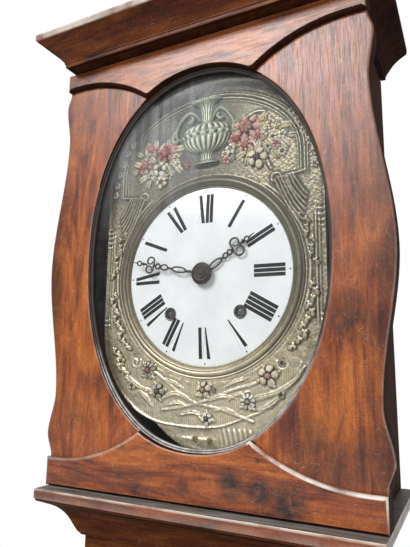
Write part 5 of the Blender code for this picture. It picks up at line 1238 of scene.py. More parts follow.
def lily(count):
    """A flower of pointed petals in two rows, the inner one standing up."""
    def point(turn, shift=0):
        return (1 - abs(2 * ((count * turn / (2 * pi) + shift) % 1) - 1)) ** 0.75

    def outline(turn):
        return 0.5 + 0.5 * point(turn) - 0.07 * cos(2 * turn + 1)

    def swell(share, turn):
        reach = 0.3 + 0.34 * point(turn, 0.5)
        inner = max(0, 1 - (share / reach) ** 2)
        edge = exp(-((share - reach) / 0.07) ** 2)
        rib = exp(-((1 - point(turn)) / 0.12) ** 2) * share
        high = 0.14 + 0.3 * sin(pi * min(1, 0.25 + 0.7 * share)) * (0.35 + 0.65 * point(turn))
        fold = 0.8 * edge + 0.9 * (1 - point(turn)) ** 3 * share - 0.3 * rib - 0.2 * inner
        return high + 0.3 * inner ** 0.5 - 0.05 * edge, fold

    return outline, swell


def rose_outline(turn):
    return 0.91 + 0.09 * cos(5 * turn + 0.7)


def rose_swell(share, turn):
    wrap = (2.7 * share - turn / (2 * pi) + 0.06 * sin(5 * turn)) % 1
    high = 0.18 + 0.46 * (1 - share ** 2) + 0.18 * wrap ** 1.6 * min(1, 3 * share)
    return high, (0.9 * max(0, 1 - wrap / 0.36) - 0.35 * max(0, wrap - 0.75) / 0.25) * min(1, 3 * share)


def leaf_outline(turn):
    return 0.42 + 0.58 * abs(cos(turn)) ** 3 if cos(turn) > 0 else 0.42 + 0.25 * abs(cos(turn)) ** 4


def leaf_swell(share, turn):
    aside = abs(share * sin(turn))
    ribs = 0.5 + 0.5 * cos(18 * (share * cos(turn) - 0.6 * aside))
    rib = exp(-(aside / 0.06) ** 2)
    high = 0.1 + 0.26 * (1 - share ** 2) - 0.08 * rib - 0.03 * ribs
    return high, 0.6 * rib + 0.35 * ribs + 0.3 * share ** 4 - 0.25


def husk_outline(turn):
    return 0.46 + 0.44 * max(0, cos(turn)) ** 2 + 0.12 * cos(3 * turn)


def husk_swell(share, turn):
    groove = abs(sin(1.5 * turn)) ** 6 * min(1, 2 * share)
    high = 0.2 + 0.5 * sqrt(max(0, 1 - share ** 2)) * (1 - 0.5 * groove)
    return high, 1.3 * groove + 0.5 * share ** 6 - 1.1 * (1 - share)


dies = {
    "husk": bloom_die("husk_die", husk_outline, husk_swell, 8, 42),
    "rose": bloom_die("rose_die", rose_outline, rose_swell),
    "lily": bloom_die("lily_die", *lily(7), 12, 70),
    "open": bloom_die("open_die", *petals(5)),
    "daisy": bloom_die("daisy_die", *petals(9)),
    "leaf": bloom_die("leaf_die", leaf_outline, leaf_swell, 8, 36),
}


def scattered_blooms():
    """A node tree that presses a die at each point, with the point's span and spin."""
    tree, names, given = new_tree("scattered_blooms", Die="Object", Relief="Float", Finish="Material")
    span = out("GeometryNodeInputNamedAttribute", {"Name": "span"}, data_type="FLOAT")
    spin = out("GeometryNodeInputNamedAttribute", {"Name": "spin"}, data_type="FLOAT")
    scale = out("ShaderNodeCombineXYZ", {0: span, 1: times(span, given["Relief"]), 2: span})
    lean = out("ShaderNodeCombineXYZ", {1: spin})
    die = add("GeometryNodeObjectInfo", {"Object": given["Die"]}).outputs["Geometry"]
    copied(given, given["Geometry"], die, Rotation=lean, Scale=scale)
    return tree, names


def bloom_points(name, blooms):
    """The points that carry each bloom's place, span, spin and colours."""
    mesh = bpy.data.meshes.new(name)
    mesh.from_pydata([(x * MM, SHEET_FRONT, dial_z + z * MM) for _, x, z, *_ in blooms], [], [])
    for key, index, factor in (("span", 3, MM), ("spin", 4, pi / 180)):
        layer = mesh.attributes.new(key, "FLOAT", "POINT")
        layer.data.foreach_set("value", [bloom[index] * factor for bloom in blooms])
    for key, index in (("petal", 5), ("eye", 6)):
        layer = mesh.attributes.new(key, "FLOAT_COLOR", "POINT")
        layer.data.foreach_set("color", [c for bloom in blooms for c in (*bloom[index], 1)])
    return mesh


def bloom_tint(mottle, fold):
    """Each petal's colour, turning to the eye's colour at the middle, with a painted highlight on its
    heights.
    """
    share = remap(attribute("ray"), 0.22, 0.38, 1, 0)
    colour = mixed(share, attribute("petal", "Color"), attribute("eye", "Color"))
    # Paler on the petals' heights: a painted highlight.
    light = remap(calc("SUBTRACT", mottle, fold), 0.4, 0.85, 0, 0.65)
    return mixed(light, colour, mixed(0.55, colour, (0.84, 0.77, 0.64)))


bloom_paint = aged_paint("bloom_paint", bloom_tint, 0.4)
pressings = scattered_blooms()
blooms = list(BLOOMS)
blooms += [("open", side * x, z, 5.8, 18 * i, CREAM, GOLD_EYE) for i,
           (x, z) in enumerate(ROSETTES) for side in (-1, 1)]
leaf_colours = (BROWN, (0.3, 0.24, 0.12), (0.4, 0.36, 0.25), GREEN, (0.26, 0.245, 0.17), (0.42, 0.35, 0.19))
for path, long in GARLANDS:
    run = smooth_path(path, 2)
    for side in ((-1, 1) if path[0][0] > 0 else (1,)):
        for i, (here, ahead) in enumerate(zip(run, run[1:])):
            heading = degrees(atan2(side * (ahead[0] - here[0]), ahead[1] - here[1]))
            lean = (28, -24, 6)[i % 3]
            aside = (2.8, -2.8, 0)[i % 3] * side
            blooms.append(("husk", side * here[0] - aside, here[1], long * (0.9 + 0.1 * (i % 2)),
                           heading + lean * side, BROWN, BROWN))
for _, x, z, span, spin, *_ in BLOOMS:
    if span > 8.5 and z < 0:
        for i in range(4):
            turn = radians(spin + 55 + 88 * i)
            away = 0.85 * span
            blooms.append(("husk", x + away * sin(turn), z + away * cos(turn), 5 + 0.6 * (i % 3),
                           degrees(turn) + 20 * (-1) ** i, BROWN, BROWN))
for x, z, wide, high, count in CLUSTERS:
    for k in range(count):
        turn = 2.39996 * k
        away = sqrt((k + 0.5) / count)
        tint = leaf_colours[(7 * k) % 6]
        blooms.append(("leaf", x + wide * away * cos(turn), z + high * away * sin(turn), 8 + 1.3 * (k % 3),
                       degrees(pi / 2 - turn) + 25 * (k % 3 - 1), tint, tint))
for die in dies:
    chosen = [bloom for bloom in blooms if bloom[0] == die]
    mesh = grown(pressings, bloom_points(die + "_points", chosen),
                 Die=dies[die], Relief=0.75 if die in ("leaf", "husk") else 0.9,
                 Finish=pressed_brass if die == "husk" else bloom_paint)
    piece(die + "_pressings", mesh, "case", "pressed_brass", [])

# The hands: pierced from dark bronze sheet and filed round at the edges, a chain of loops with a pair of
# scrolls near the point; the minute hand is pinned under a turned boss, the hour hand rides on its pipe.

minute_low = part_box("minute_hand")[0]
hour_low, hour_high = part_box("hour_hand")
HAND_SHEET = 0.001
MINUTE_ANGLE = 2 * pi * 107 / 60
HOUR_ANGLE = 2 * pi * 113 / 720
minute_y = minute_low.y + 0.0045 + HAND_SHEET / 2
hour_y = (hour_low.y + hour_high.y) / 2


def filed_strip(shape, path, widths, thick, closed=False):
    """A flat strip with filed edges along a path of x and z, closed into a loop or capped."""
    points = [Vector((x, 0, z)) for x, z in path]
    count = len(points)
    rows = []
    for i, here in enumerate(points):
        before = points[i - 1] if closed or i else here
        after = points[(i + 1) % count] if closed or i < count - 1 else here
        ahead = (after - before).normalized()
        side = Vector((-ahead.z, 0, ahead.x))
        half = widths[i] / 2 if isinstance(widths, (list, tuple)) else widths / 2
        ring_points = ((1, 0.2), (0.75, 0.5), (-0.75, 0.5), (-1, 0.2), (-1, -0.5), (1, -0.5))
        rows.append([shape.verts.new(here + side * half * a - Vector((0, thick * b, 0))) for a,
                     b in ring_points])
    skin(shape, rows, closed, not closed)


def eye_loop(start, end, half, point=1):
    """A closed loop along a hand between two distances, round at point 1 and lozenge-like above it."""
    middle, long = (start + end) / 2, (end - start) / 2
    turns = [2 * pi * i / 36 for i in range(36)]
    return [(half * copysign(abs(sin(t)) ** point, sin(t)), middle - long * cos(t)) for t in turns]


def scroll(start, centre, radius, side, sweep=330):
    """A scroll that leaves the stem, runs round a lobe and curls in."""
    path = [start]
    for i in range(27):
        share = i / 26
        turn = radians(-155 + sweep * share)
        curl = radius * (1 - 0.52 * max(0, share - 0.55) / 0.45)
        path.append((side * (centre[0] + curl * sin(turn + pi)), centre[1] + curl * cos(turn)))
    return path


def pierced_hand(angle, depth, bars, loops, scrolls, tip):
    """A hand from sizes in millimetres: solid bars, closed loops, a pair of scrolls and a point."""
    shape = bmesh.new()
    thick = HAND_SHEET / MM
    for (s0, w0), (s1, w1) in bars:
        steps = [s0 + (s1 - s0) * i / 4 for i in range(5)]
        filed_strip(shape, [(0, s) for s in steps], [w0 + (w1 - w0) * i / 4 for i in range(5)], thick)
    for start, end, half, point, width in loops:
        filed_strip(shape, eye_loop(start, end, half, point), width, thick, True)
    for side in (-1, 1):
        start, centre, radius, width = scrolls
        path = scroll(start, centre, radius, side)
        widths = [width * (1 - 0.25 * i / (len(path) - 1)) for i in range(len(path))]
        filed_strip(shape, path, widths, thick)
    (s0, w0), (s1, w1) = tip
    filed_strip(shape, [(0, s0), (0, (s0 + s1) / 2), (0, s1)], [w0, 0.6 * w0, w1], thick)
    mesh = mesh_from(shape, 45)
    turn = Matrix.Rotation(angle, 4, "Y") @ Matrix.Scale(MM, 4)
    mesh.transform(Matrix.Translation((0, depth, dial_z)) @ turn)
    return mesh


hand_bronze = metal("hand_bronze", (0.034, 0.028, 0.023), (0.082, 0.068, 0.054), 0.45, 0.45, 160, 0.4)
boss_bronze = metal("boss_bronze", (0.022, 0.017, 0.015), (0.062, 0.048, 0.04), 0.5, 0.4, 260, 0.5)
minute_mesh = pierced_hand(
    MINUTE_ANGLE, minute_y,
    (((10, 4), (25.5, 3.4)), ((44, 3), (53, 3)), ((63, 2.6), (65, 2.6)),
     ((71.5, 2.6), (76.2, 3)), ((85.5, 3.4), (95, 2)), ((90.8, 2.4), (91.8, 6.4)),
     ((91.8, 6.4), (93.2, 2.2))),
    ((24.5, 45, 3.4, 0.85, 2.2), (52.3, 63.6, 3.5, 1.35, 2.2),
     (64.6, 72.2, 3.3, 1.2, 2.1), (94.8, 102.2, 3, 1.35, 2)),
    ((0.8, 74.8), (5.6, 80.8), 5.3, 2.3),
    ((101.5, 2.2), (108.5, 0.5)))
piece("minute_hand_sheet", minute_mesh, "minute", "bronze", [hand_bronze], "minute_hand")
# The boss: radius and height, in millimetres
BOSS = [(0, -0.8), (13.8, -0.8), (14.5, -0.2), (14.5, 0.8), (13.8, 1.6), (12.8, 1.6), (12.4, 1.1),
        (11.8, 1.2), (11.2, 2.2), (10, 2.9), (8.6, 3.1), (8, 2.6), (7.4, 2.6), (6.8, 3.4), (5.6, 3.9),
        (4.4, 3.8), (4, 3.3), (3, 3.4), (2.6, 4.2), (1.4, 4.5), (0, 4.5)]
boss_mesh = mesh_from(facing_front(turned(mm(BOSS), 64)), 50)
boss_mesh = moved(boss_mesh, (0, minute_y - HAND_SHEET / 2, dial_z))
piece("minute_boss", boss_mesh, "minute", "bronze", [boss_bronze], "minute_hand")
hour_mesh = pierced_hand(
    HOUR_ANGLE, hour_y,
    (((6, 12), (13, 8)), ((30.8, 3), (35.2, 3)), ((41.5, 2.8), (43, 2.8)),
     ((48, 2.8), (51.8, 3.4)), ((60, 5), (69, 2.8)), ((66, 3), (67.5, 8.5)),
     ((67.5, 8.5), (70, 2.6))),
    ((11.5, 31.5, 3.8, 0.85, 2.4), (34.8, 42, 3.2, 1.1, 2.2),
     (42.4, 48.6, 3.5, 1.2, 2.2), (69.8, 76.4, 2.9, 1.3, 2)),
    ((0.8, 50.5), (6.3, 57.2), 6.1, 2.6),
    ((75.8, 2.4), (85.5, 0.6)))
piece("hour_hand_sheet", hour_mesh, "hour", "bronze", [hand_bronze], "hour_hand")

# The hood door: two stiles of fruitwood with swelled outer edges, tenoned into a top and a bottom rail that
# stand proud of them with swept edges, sawn to one oval and rebated behind for the pane.

FACE = -0.0795
DOOR_BACK = -0.0595
RAIL_PROUD = 0.007
HOOD_HALF_WIDTH = 0.204
RAIL_OVERHANG = 0.0166
SWELLS = ((-0.24, RAIL_OVERHANG), (-0.21, 0.025), (-0.157, 0.0149), (0.017, 0.0362), (0.211, 0.0155),
          (0.268, 0.0229), (0.2918, RAIL_OVERHANG))
TOP_EDGE, TOP_ARC, TOP_ARC_X = 0.2918, 0.194, 0.1995
BOTTOM_EDGE, BOTTOM_ARC, BOTTOM_ARC_X = -0.24, 0.2231, 0.2052
OVAL_HALF_WIDTH, OVAL_HALF_HEIGHT = 0.171, 0.2462
OVAL_RISE = 0.0279
OVAL_POWER = 2.15
EASE, SWEEP_EASE = 0.0022, 0.0028
TENON = 0.008
STILE_INNER = 0.06
LAP_STEP = 0.0003
rail_end = HOOD_HALF_WIDTH + RAIL_OVERHANG
rail_top = top_low.z - 0.0013 - dial_z
rail_bottom = throat_high.z + 0.0012 - dial_z


def oval_point(turn, grow=0):
    c, s = cos(turn), sin(turn)
    x = (OVAL_HALF_WIDTH + grow) * copysign(abs(c) ** (2 / OVAL_POWER), c)
    return (x, OVAL_RISE + (OVAL_HALF_HEIGHT + grow) * copysign(abs(s) ** (2 / OVAL_POWER), s))


def oval_turn(x):
    """The turn at which the oval's upper right quarter has a width."""
    return acos(min(1, (x / OVAL_HALF_WIDTH) ** (OVAL_POWER / 2)))


def oval_arc(first, last, steps):
    return [oval_point(first + (last - first) * i / steps) for i in range(steps + 1)]


def swept_edge(x, edge, radius, arc_x, drop):
    within = max(0, arc_x - abs(x))
    return edge + drop * (radius - sqrt(radius * radius - within * within))


def top_sweep(x):
    return swept_edge(x, TOP_EDGE, TOP_ARC, TOP_ARC_X, -1)


def bottom_sweep(x):
    return swept_edge(x, BOTTOM_EDGE, BOTTOM_ARC, BOTTOM_ARC_X, 1)


def meeting(sweep, upper):
    """Where a rail's swept edge meets the oval, by halving."""
    low, high = 0.06, 0.17
    for _ in range(40):
        middle = (low + high) / 2
        turn = oval_turn(middle)
        oval_z = oval_point(turn if upper else -turn)[1]
        outside = sweep(middle) > oval_z if upper else sweep(middle) < oval_z
        low, high = (low, middle) if outside else (middle, high)
    return low


def swelled_edge(steps=14):
    """The stile's swelled outer edge from the bottom rail up, easing between its turns."""
    points = []
    for (z0, out0), (z1, out1) in zip(SWELLS, SWELLS[1:]):
        for i in range(steps):
            share = i / steps
            eased = share * share * (3 - 2 * share)
            points.append((HOOD_HALF_WIDTH + out0 + (out1 - out0) * eased, z0 + (z1 - z0) * share))
    return points + [(rail_end, TOP_EDGE)]


def eased_plate(outlines, front, back, ease, rim=0.0012, paleness=lambda x, z: 0.12,
                edged=lambda face: 0, wider=lambda x, z: 0):
    """A board sawn to outlines in x and z, its front arrises eased and marked in its wear_and_highlight
    attribute.

    Edged gives the finish of each face that doesn't look to the front or back; on the hood door
    these are painted shade.
    """
    shape = bmesh.new()
    wear_and_highlight = shape.verts.layers.float.new("wear_and_highlight")
    back_edges, front_edges = [], []
    for order, outline in enumerate(outlines):
        points = np.array(outline)
        area = np.sum(points[:, 0] * np.roll(points[:, 1], -1) - np.roll(points[:, 0], -1) * points[:, 1])
        if (area > 0) != (order == 0):
            points = points[::-1]
        ahead = np.roll(points, -1, 0) - points
        ahead /= np.linalg.norm(ahead, axis=1)[:, None]
        left = np.column_stack([-ahead[:, 1], ahead[:, 0]])
        before = np.roll(left, 1, 0)
        mitre = (left + before) / (1 + np.sum(left * before, axis=1))[:, None].clip(0.4)
        count = len(points)
        eases = np.array([ease + wider(x, z) for x, z in points])
        none = np.zeros(count)
        steps = [(none, none + back, 0), (none, front + eases + rim, 0), (none, front + eases, 0.8)]
        for i in (1, 2, 3):
            turn = pi / 2 * i / 3
            steps.append((eases * (1 - cos(turn)), front + eases * (1 - sin(turn)), 1))
        steps.append((eases + rim, none + front, 0))
        rows = []
        for inset, depth, share in steps:
            row = [shape.verts.new((x, y, z)) for (x, z), y in zip(points + mitre * inset[:, None], depth)]
            for v in row:
                v[wear_and_highlight] = share * paleness(v.co.x, v.co.z)
            rows.append(row)
        skin(shape, rows)
        back_edges += [shape.edges.get((rows[0][i - 1], rows[0][i])) for i in range(count)]
        front_edges += [shape.edges.get((rows[-1][i - 1], rows[-1][i])) for i in range(count)]
    for edges in (back_edges, front_edges):
        bmesh.ops.triangle_fill(shape, edges=edges, use_beauty=True)
    bmesh.ops.recalc_face_normals(shape, faces=shape.faces)
    for face in shape.faces:
        if abs(face.normal.y) < 0.4 or (abs(face.normal.y) < 0.97 and face.normal.z < -0.2):
            face.material_index = edged(face)
    return mesh_from(shape, 50)


top_meet, bottom_meet = meeting(top_sweep, True), meeting(bottom_sweep, False)
SWEEP_STEPS = 28


def swept_points(sweep, meet):
    """A rail's swept edge on the right, from the oval out to the rail's end."""
    widths = [meet + (rail_end - meet) * i / SWEEP_STEPS for i in range(1, SWEEP_STEPS + 1)]
    return [(x, sweep(x)) for x in widths]


top_right, bottom_right = swept_points(top_sweep, top_meet), swept_points(bottom_sweep, bottom_meet)
top_turn, bottom_turn = oval_turn(top_meet), oval_turn(bottom_meet)
top_outline = [(-x, z) for x, z in top_right[::-1]] + oval_arc(pi - top_turn, top_turn, 48)
top_outline += top_right + [(rail_end, rail_top), (-rail_end, rail_top)]
bottom_outline = [(-rail_end, rail_bottom), (rail_end, rail_bottom)] + bottom_right[::-1]
bottom_outline += oval_arc(-bottom_turn, bottom_turn - pi, 48) + [(-x, z) for x, z in bottom_right]
inner_turn = oval_turn(STILE_INNER)
stile_outline = [(STILE_INNER, BOTTOM_EDGE - TENON), (rail_end - 0.003,
                                                      BOTTOM_EDGE - TENON)] + swelled_edge()
stile_outline += [(rail_end - 0.003, TOP_EDGE + TENON), (STILE_INNER, TOP_EDGE + TENON)]
stile_outline += oval_arc(inner_turn, -inner_turn, 90)

# Spots of stain and of light figure: x and z, radius, all in millimetres, and strength
RAIL_STAINS = ((50.5, 1611.9, 22, 1), (86.2, 1608.7, 20, 1), (119.9, 1600.7, 28, 1),
               (-8.2, 1602.1, 10, 0.7), (-73.8, 1594.7, 9, 0.6), (-98.4, 1609.6, 6, 0.7),
               (-169.5, 1599, 20, 0.35), (-96.9, 1644.3, 5, 0.8), (85.3, 1641.7, 4, 0.9))
RAIL_LIGHTS = ((-135, 2120, 55, 1.4), (-40, 2128, 60, 1.4), (50, 2140, 50, 1.2), (-60, 1640, 50, 0.9),
               (20, 1636, 40, 0.8))
STILE_STAINS = ((-201, 2106, 50, 0.3), (184, 1805, 35, 0.4), (200, 1780, 30, 0.35), (152, 1643, 45, 0.5),
                (203, 1645, 45, 0.5), (131, 1677, 30, 0.35), (181, 1888, 50, 0.2), (-181, 1676, 30, 0.35))
STILE_LIGHTS = ((-195, 2060, 50, 0.9), (175, 1860, 50, 0.9), (-196, 1890, 45, 1), (-200, 1818, 60, 1),
                (-165, 1763, 40, 0.9), (-197, 1701, 45, 0.9), (185, 1711, 50, 1), (159, 1689, 30, 0.8),
                (205, 1752, 40, 0.8))
rail_wood = stained_wood("rail_wood", "x", 0.86, RAIL_STAINS, lights=RAIL_LIGHTS, margin=(0.205, 0.235))
stile_wood = stained_wood("stile_wood", "z", 0.84, STILE_STAINS, lights=STILE_LIGHTS, margin=(0.203, 0.234))


def in_oval(face):
    """Whether a face of the door looks into the oval."""
    middle = face.calc_center_median()
    return hypot(middle.x / OVAL_HALF_WIDTH, (middle.z - OVAL_RISE) / OVAL_HALF_HEIGHT) < 1.03


def door_edge(face):
    """Painted shade in the oval and on edges that look down or sideways, varnished on edges that look up.
    """
    return 1 if in_oval(face) or face.normal.z < 0.6 else 0


def rail_wear_and_highlight(x, z):
    """How pale the bottom rail's arris is painted: along its sweeps, which face up, rubbed wear and a
    painted highlight, paler on the right; plain elsewhere.
    """
    return (0.9 if x > 0 else 0.25) if z > rail_bottom + 0.012 and abs(x) > bottom_meet - 0.004 else 0.12


def sweep_ease(x, z):
    """How much wider the arris is eased along the rails' sweeps."""
    swept = top_meet - 0.003 < abs(x) < rail_end - 0.002 and rail_bottom + 0.01 < z < rail_top - 0.01
    return SWEEP_EASE * (1 if z > 0 else 0.35) * swept


door_parts = {
    "hood_door_left_stile": ([(-x, z) for x, z in stile_outline], FACE, stile_wood, lambda x, z: 0.1),
    "hood_door_right_stile": (stile_outline, FACE, stile_wood, lambda x, z: 0.1),
    "hood_door_top_rail": (top_outline, FACE - RAIL_PROUD, rail_wood, lambda x, z: 0.1),
    "hood_door_bottom_rail": (bottom_outline, FACE - RAIL_PROUD, rail_wood, rail_wear_and_highlight),
}
for node, (outline, front, finish, worn_and_lit) in door_parts.items():
    wider = sweep_ease if "rail" in node else lambda x, z: 0
    back = DOOR_BACK if "rail" in node else DOOR_BACK - LAP_STEP
    mesh = raised(eased_plate([outline], front, back, EASE, 0.001, worn_and_lit, door_edge, wider))
    piece(node + "_board", mesh, "hood_door", "wood", [finish, painted_shade_wood], node)

# Rows of the glazing bead: growth beyond the oval, depth and paleness, which is wear and a painted
# highlight
BEAD_ROWS = ((0.0012, -0.0718, 0), (0.0012, -0.0768, 0), (0.0002, -0.0772, 0.9), (-0.001, -0.0768, 0.9),
             (-0.0014, -0.0758, 0.1), (-0.0016, -0.0748, 0), (-0.0026, -0.0746, 0.8),
             (-0.0034, -0.074, 0.9), (-0.0038, -0.073, 0.1), (-0.004, -0.0718, 0))
BEAD_STEPS = 160
bead_wood, bead_shader = new_material("bead_wood", 0.45)
bead_rub = remap(clouds(object_place(), 60, 4), 0.32, 0.58, 0.35, 1)
bead_share = times(attribute("wear_and_highlight"), bead_rub)
plug(bead_shader, "Base Color", mixed(bead_share, (0.03, 0.02, 0.016), (0.66, 0.64, 0.61)))
bead_shape = bmesh.new()
bead_wear_and_highlight = bead_shape.verts.layers.float.new("wear_and_highlight")
bead_rings = []
for grow, y, worn_and_lit in BEAD_ROWS:
    row = []
    for i in range(BEAD_STEPS):
        x, z = oval_point(2 * pi * i / BEAD_STEPS, grow)
        v = bead_shape.verts.new((x, y, z))
        # Pale only along the bottom of the oval, where the bead faces up to the light: a painted highlight.
        v[bead_wear_and_highlight] = worn_and_lit * min(1, max(0.04, (-0.08 - z) / 0.06))
        row.append(v)
    bead_rings.append(row)
skin(bead_shape, bead_rings, hoop=True)
piece("glazing_bead", raised(mesh_from(bead_shape, 40)), "hood_door", "wood", [bead_wood])
SMEAR_PLACE, SMEAR_RADIUS = (-0.085, dial_z + 0.185), 0.14


def window_glass(name):
    """Old blown glass: clear, faintly wavy, with dust and a mirror-like gleam at a slant."""
    made, shader = new_material(name, 0.03, 1)
    place = object_place()
    plug(shader, "Base Color", (0.95, 0.97, 0.97, 1))
    slant = add("ShaderNodeLayerWeight", {"Blend": 0.5}).outputs["Facing"]
    gleam = plus(times(calc("POWER", slant, 4), 0.7), 0.008)
    dust = remap(clouds(place, 55, 5, 0.7), 0.45, 0.8, 0, 0.014)
    wiped = out("ShaderNodeMapping", {"Vector": place, "Rotation": (0, 0.4, 0), "Scale": (90, 1, 7)})
    smear = remap(clouds(wiped, 1, 3), 0.38, 0.66, 0.15, 1)
    smear = times(smear, spot(place, SMEAR_PLACE, SMEAR_RADIUS))
    dust = plus(dust, times(smear, 0.045))
    plug(shader, "Roughness", remap(slant, 0.35, 0.6, 0.55, 0.04))
    plug(shader, "Alpha", plus(gleam, dust))
    bumped(shader, clouds(place, 9, 1), 0.12, 0.004)
    return made


clear_glass = window_glass("clear_glass")
glass_low, glass_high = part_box("hood_door_glass")
GLASS_LAP = 0.006
glass_outline = [oval_point(2 * pi * i / 120, GLASS_LAP) for i in range(120)]
glass_mesh = raised(eased_plate([glass_outline], glass_low.y, glass_high.y, 0.0004, 0.002))
piece("hood_door_pane", glass_mesh, "hood_door", "glass", [clear_glass], "hood_door_glass")

# The trunk door: one frame with a round-ended window and its pane, and a turned brass knob whose shank
# carries the tongue that latches behind the frame.

WINDOW_HALF_WIDTH, WINDOW_MARGIN, WINDOW_ARCH = 0.078, 0.105, 0.045


def window_outline(grow, steps=28):
    """The trunk door's window: straight sides with an arch above and below."""
    half, rise = WINDOW_HALF_WIDTH + grow, WINDOW_ARCH + grow
    high = opening_z[1] - WINDOW_MARGIN - WINDOW_ARCH
    low = opening_z[0] + WINDOW_MARGIN + WINDOW_ARCH
    turns = [pi * i / steps for i in range(steps + 1)]
    outline = [(half * cos(t), high + rise * sin(t)) for t in turns]
    return outline + [(-half * cos(t), low - rise * sin(t)) for t in turns]


door_outline = [(door_low.x, door_low.z), (door_high.x, door_low.z), (door_high.x, door_high.z),
                (door_low.x, door_high.z)]
door_mesh = eased_plate([door_outline, window_outline(0)], door_low.y, door_high.y, 0.0018)
piece("trunk_door_board", door_mesh, "trunk_door", "wood", [upright_wood], "trunk_door_frame")
pane_low, pane_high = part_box("trunk_door_glass")
pane_mesh = eased_plate([window_outline(GLASS_LAP)], pane_low.y, pane_high.y, 0.0004, 0.002)
piece("trunk_door_pane", pane_mesh, "trunk_door", "glass", [clear_glass], "trunk_door_glass")

knob_low, knob_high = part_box("trunk_door_knob")
knob_radius = (knob_high.x - knob_low.x) / 2
knob_place = Vector((knob_low.x + knob_radius, frame_front, knob_high.z - knob_radius))
SHANK, TONGUE, TONGUE_HALF_WIDTH = 0.003, 0.003, 0.006
# Shares of the knob's radius and of its reach from the door, from the front back
KNOB = ((0, 1), (0.35, 0.985), (0.62, 0.93), (0.86, 0.82), (0.98, 0.7), (1, 0.62), (0.96, 0.54),
        (0.8, 0.45), (0.58, 0.38), (0.44, 0.32), (0.4, 0.24), (0.5, 0.17), (0.78, 0.13), (0.92, 0.1),
        (0.94, 0.05), (0.9, 0.015))
knob_reach = frame_front - knob_low.y
knob_profile = [(knob_radius * wide, knob_reach * out) for wide, out in KNOB]
knob_profile += [(SHANK, knob_profile[-1][1]), (SHANK, frame_front - knob_high.y + TONGUE / 2)]
knob_profile.append((0, knob_profile[-1][1]))
knob_mesh = moved(mesh_from(facing_front(turned(knob_profile, 48))), knob_place)
tongue = planed_board((knob_place.x - TONGUE_HALF_WIDTH, knob_high.y - TONGUE, knob_low.z),
                      (knob_place.x + TONGUE_HALF_WIDTH, knob_high.y, knob_place.z + TONGUE_HALF_WIDTH),
                      0.0006)
piece("turned_knob", joined((knob_mesh, tongue), 40), "trunk_knob", "brass", [wheel_brass],
      "trunk_door_knob")

# The pendulum: a steel rod hung from a cross pin, and a lens bob of two brass shells spun over lead and
# crimped at the rim, carried by a nut on the rod's end.

bob_low, bob_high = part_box("pendulum_bob")
bob_radius, bob_half = (bob_high.x - bob_low.x) / 2, (bob_high.y - bob_low.y) / 2
# Shares of the bob's radius and of half its thickness, at the raised ring round its middle and at the rim
BOB_MIDDLE = ((0, 1), (0.1, 0.99), (0.19, 0.965), (0.205, 0.995), (0.235, 0.99), (0.25, 0.945))
BOB_RIM = ((0.935, 0.27), (0.945, 0.22), (0.955, 0.28), (0.97, 0.27), (0.985, 0.2), (0.995, 0.11), (1, 0))
bob_face = list(BOB_MIDDLE)
bob_face += [(0.05 * i, 0.96 * sqrt(1 - (0.05 * i) ** 2)) for i in range(6, 19)]
bob_face += BOB_RIM
bob_profile = [(bob_radius * wide, bob_half * thick) for wide, thick in bob_face]
bob_profile += [(wide, -thick) for wide, thick in bob_profile[-2::-1]]
bob_mesh = moved(mesh_from(facing_front(turned(bob_profile, 112)), 50), (bob_low + bob_high) / 2)
bob_brass = metal("bob_brass", (0.44, 0.31, 0.12), (0.72, 0.55, 0.27), 0.3, 1, 26, 0.45)
piece("lens_bob", bob_mesh, "pendulum", "brass", [bob_brass], "pendulum_bob")

# The weights: cast iron with a round foot and shoulder, each with a forged eye leaded into its top, hung by
# a line of three hemp strands that is tied through the eye and runs up to its barrel.

EYE_RADIUS, EYE_WIRE = 0.004, 0.0016
# Radius and height in millimetres: the weight from its foot up, and the knot
WEIGHT = ((0, 0), (35.5, 0), (38.5, 1.2), (40, 4.2), (40, 10), (39.2, 11.5), (39.2, 102), (40, 103.5),
          (40, 110), (39, 112.8), (36.2, 118), (31, 124), (24, 128.2), (12, 130), (6.4, 130.2),
          (6, 132.5), (4.8, 133.7), (0, 133.7))
KNOT_SUNK = 0.0005
STRAND, STRANDS, LAY = 0.00078, 3, 0.01
KNOT = ((0, 0), (2.4, 0.4), (2.9, 1.4), (2.3, 2.6), (2.9, 3.8), (2.3, 5), (2.8, 6.2), (2.1, 7.4),
        (1.7, 8), (0, 8))


def laid_line():
    """A node tree that lays strands round one another up a straight run."""
    tree, names, given = new_tree("laid_line", Strands="Int", Turns="Float", Strand="Float", Length="Float",
                                  Foot="Vector", Finish="Material")
    coil = {"Resolution": 9, "Rotations": given["Turns"], "Start Radius": given["Strand"],
            "End Radius": given["Strand"], "Height": given["Length"]}
    path = out("GeometryNodeCurveSpiral", coil)
    section = out("GeometryNodeCurvePrimitiveCircle", {"Resolution": 5, "Radius": given["Strand"]})
    tube = out("GeometryNodeCurveToMesh", {"Curve": path, "Profile Curve": section, "Fill Caps": True})
    points = out("GeometryNodePoints", {"Count": given["Strands"], "Position": given["Foot"]})
    turn = calc("DIVIDE", out("GeometryNodeInputIndex"), given["Strands"])
    turn = out("ShaderNodeCombineXYZ", {2: times(turn, 2 * pi)})
    copied(given, points, tube, Rotation=turn)
    return tree, names


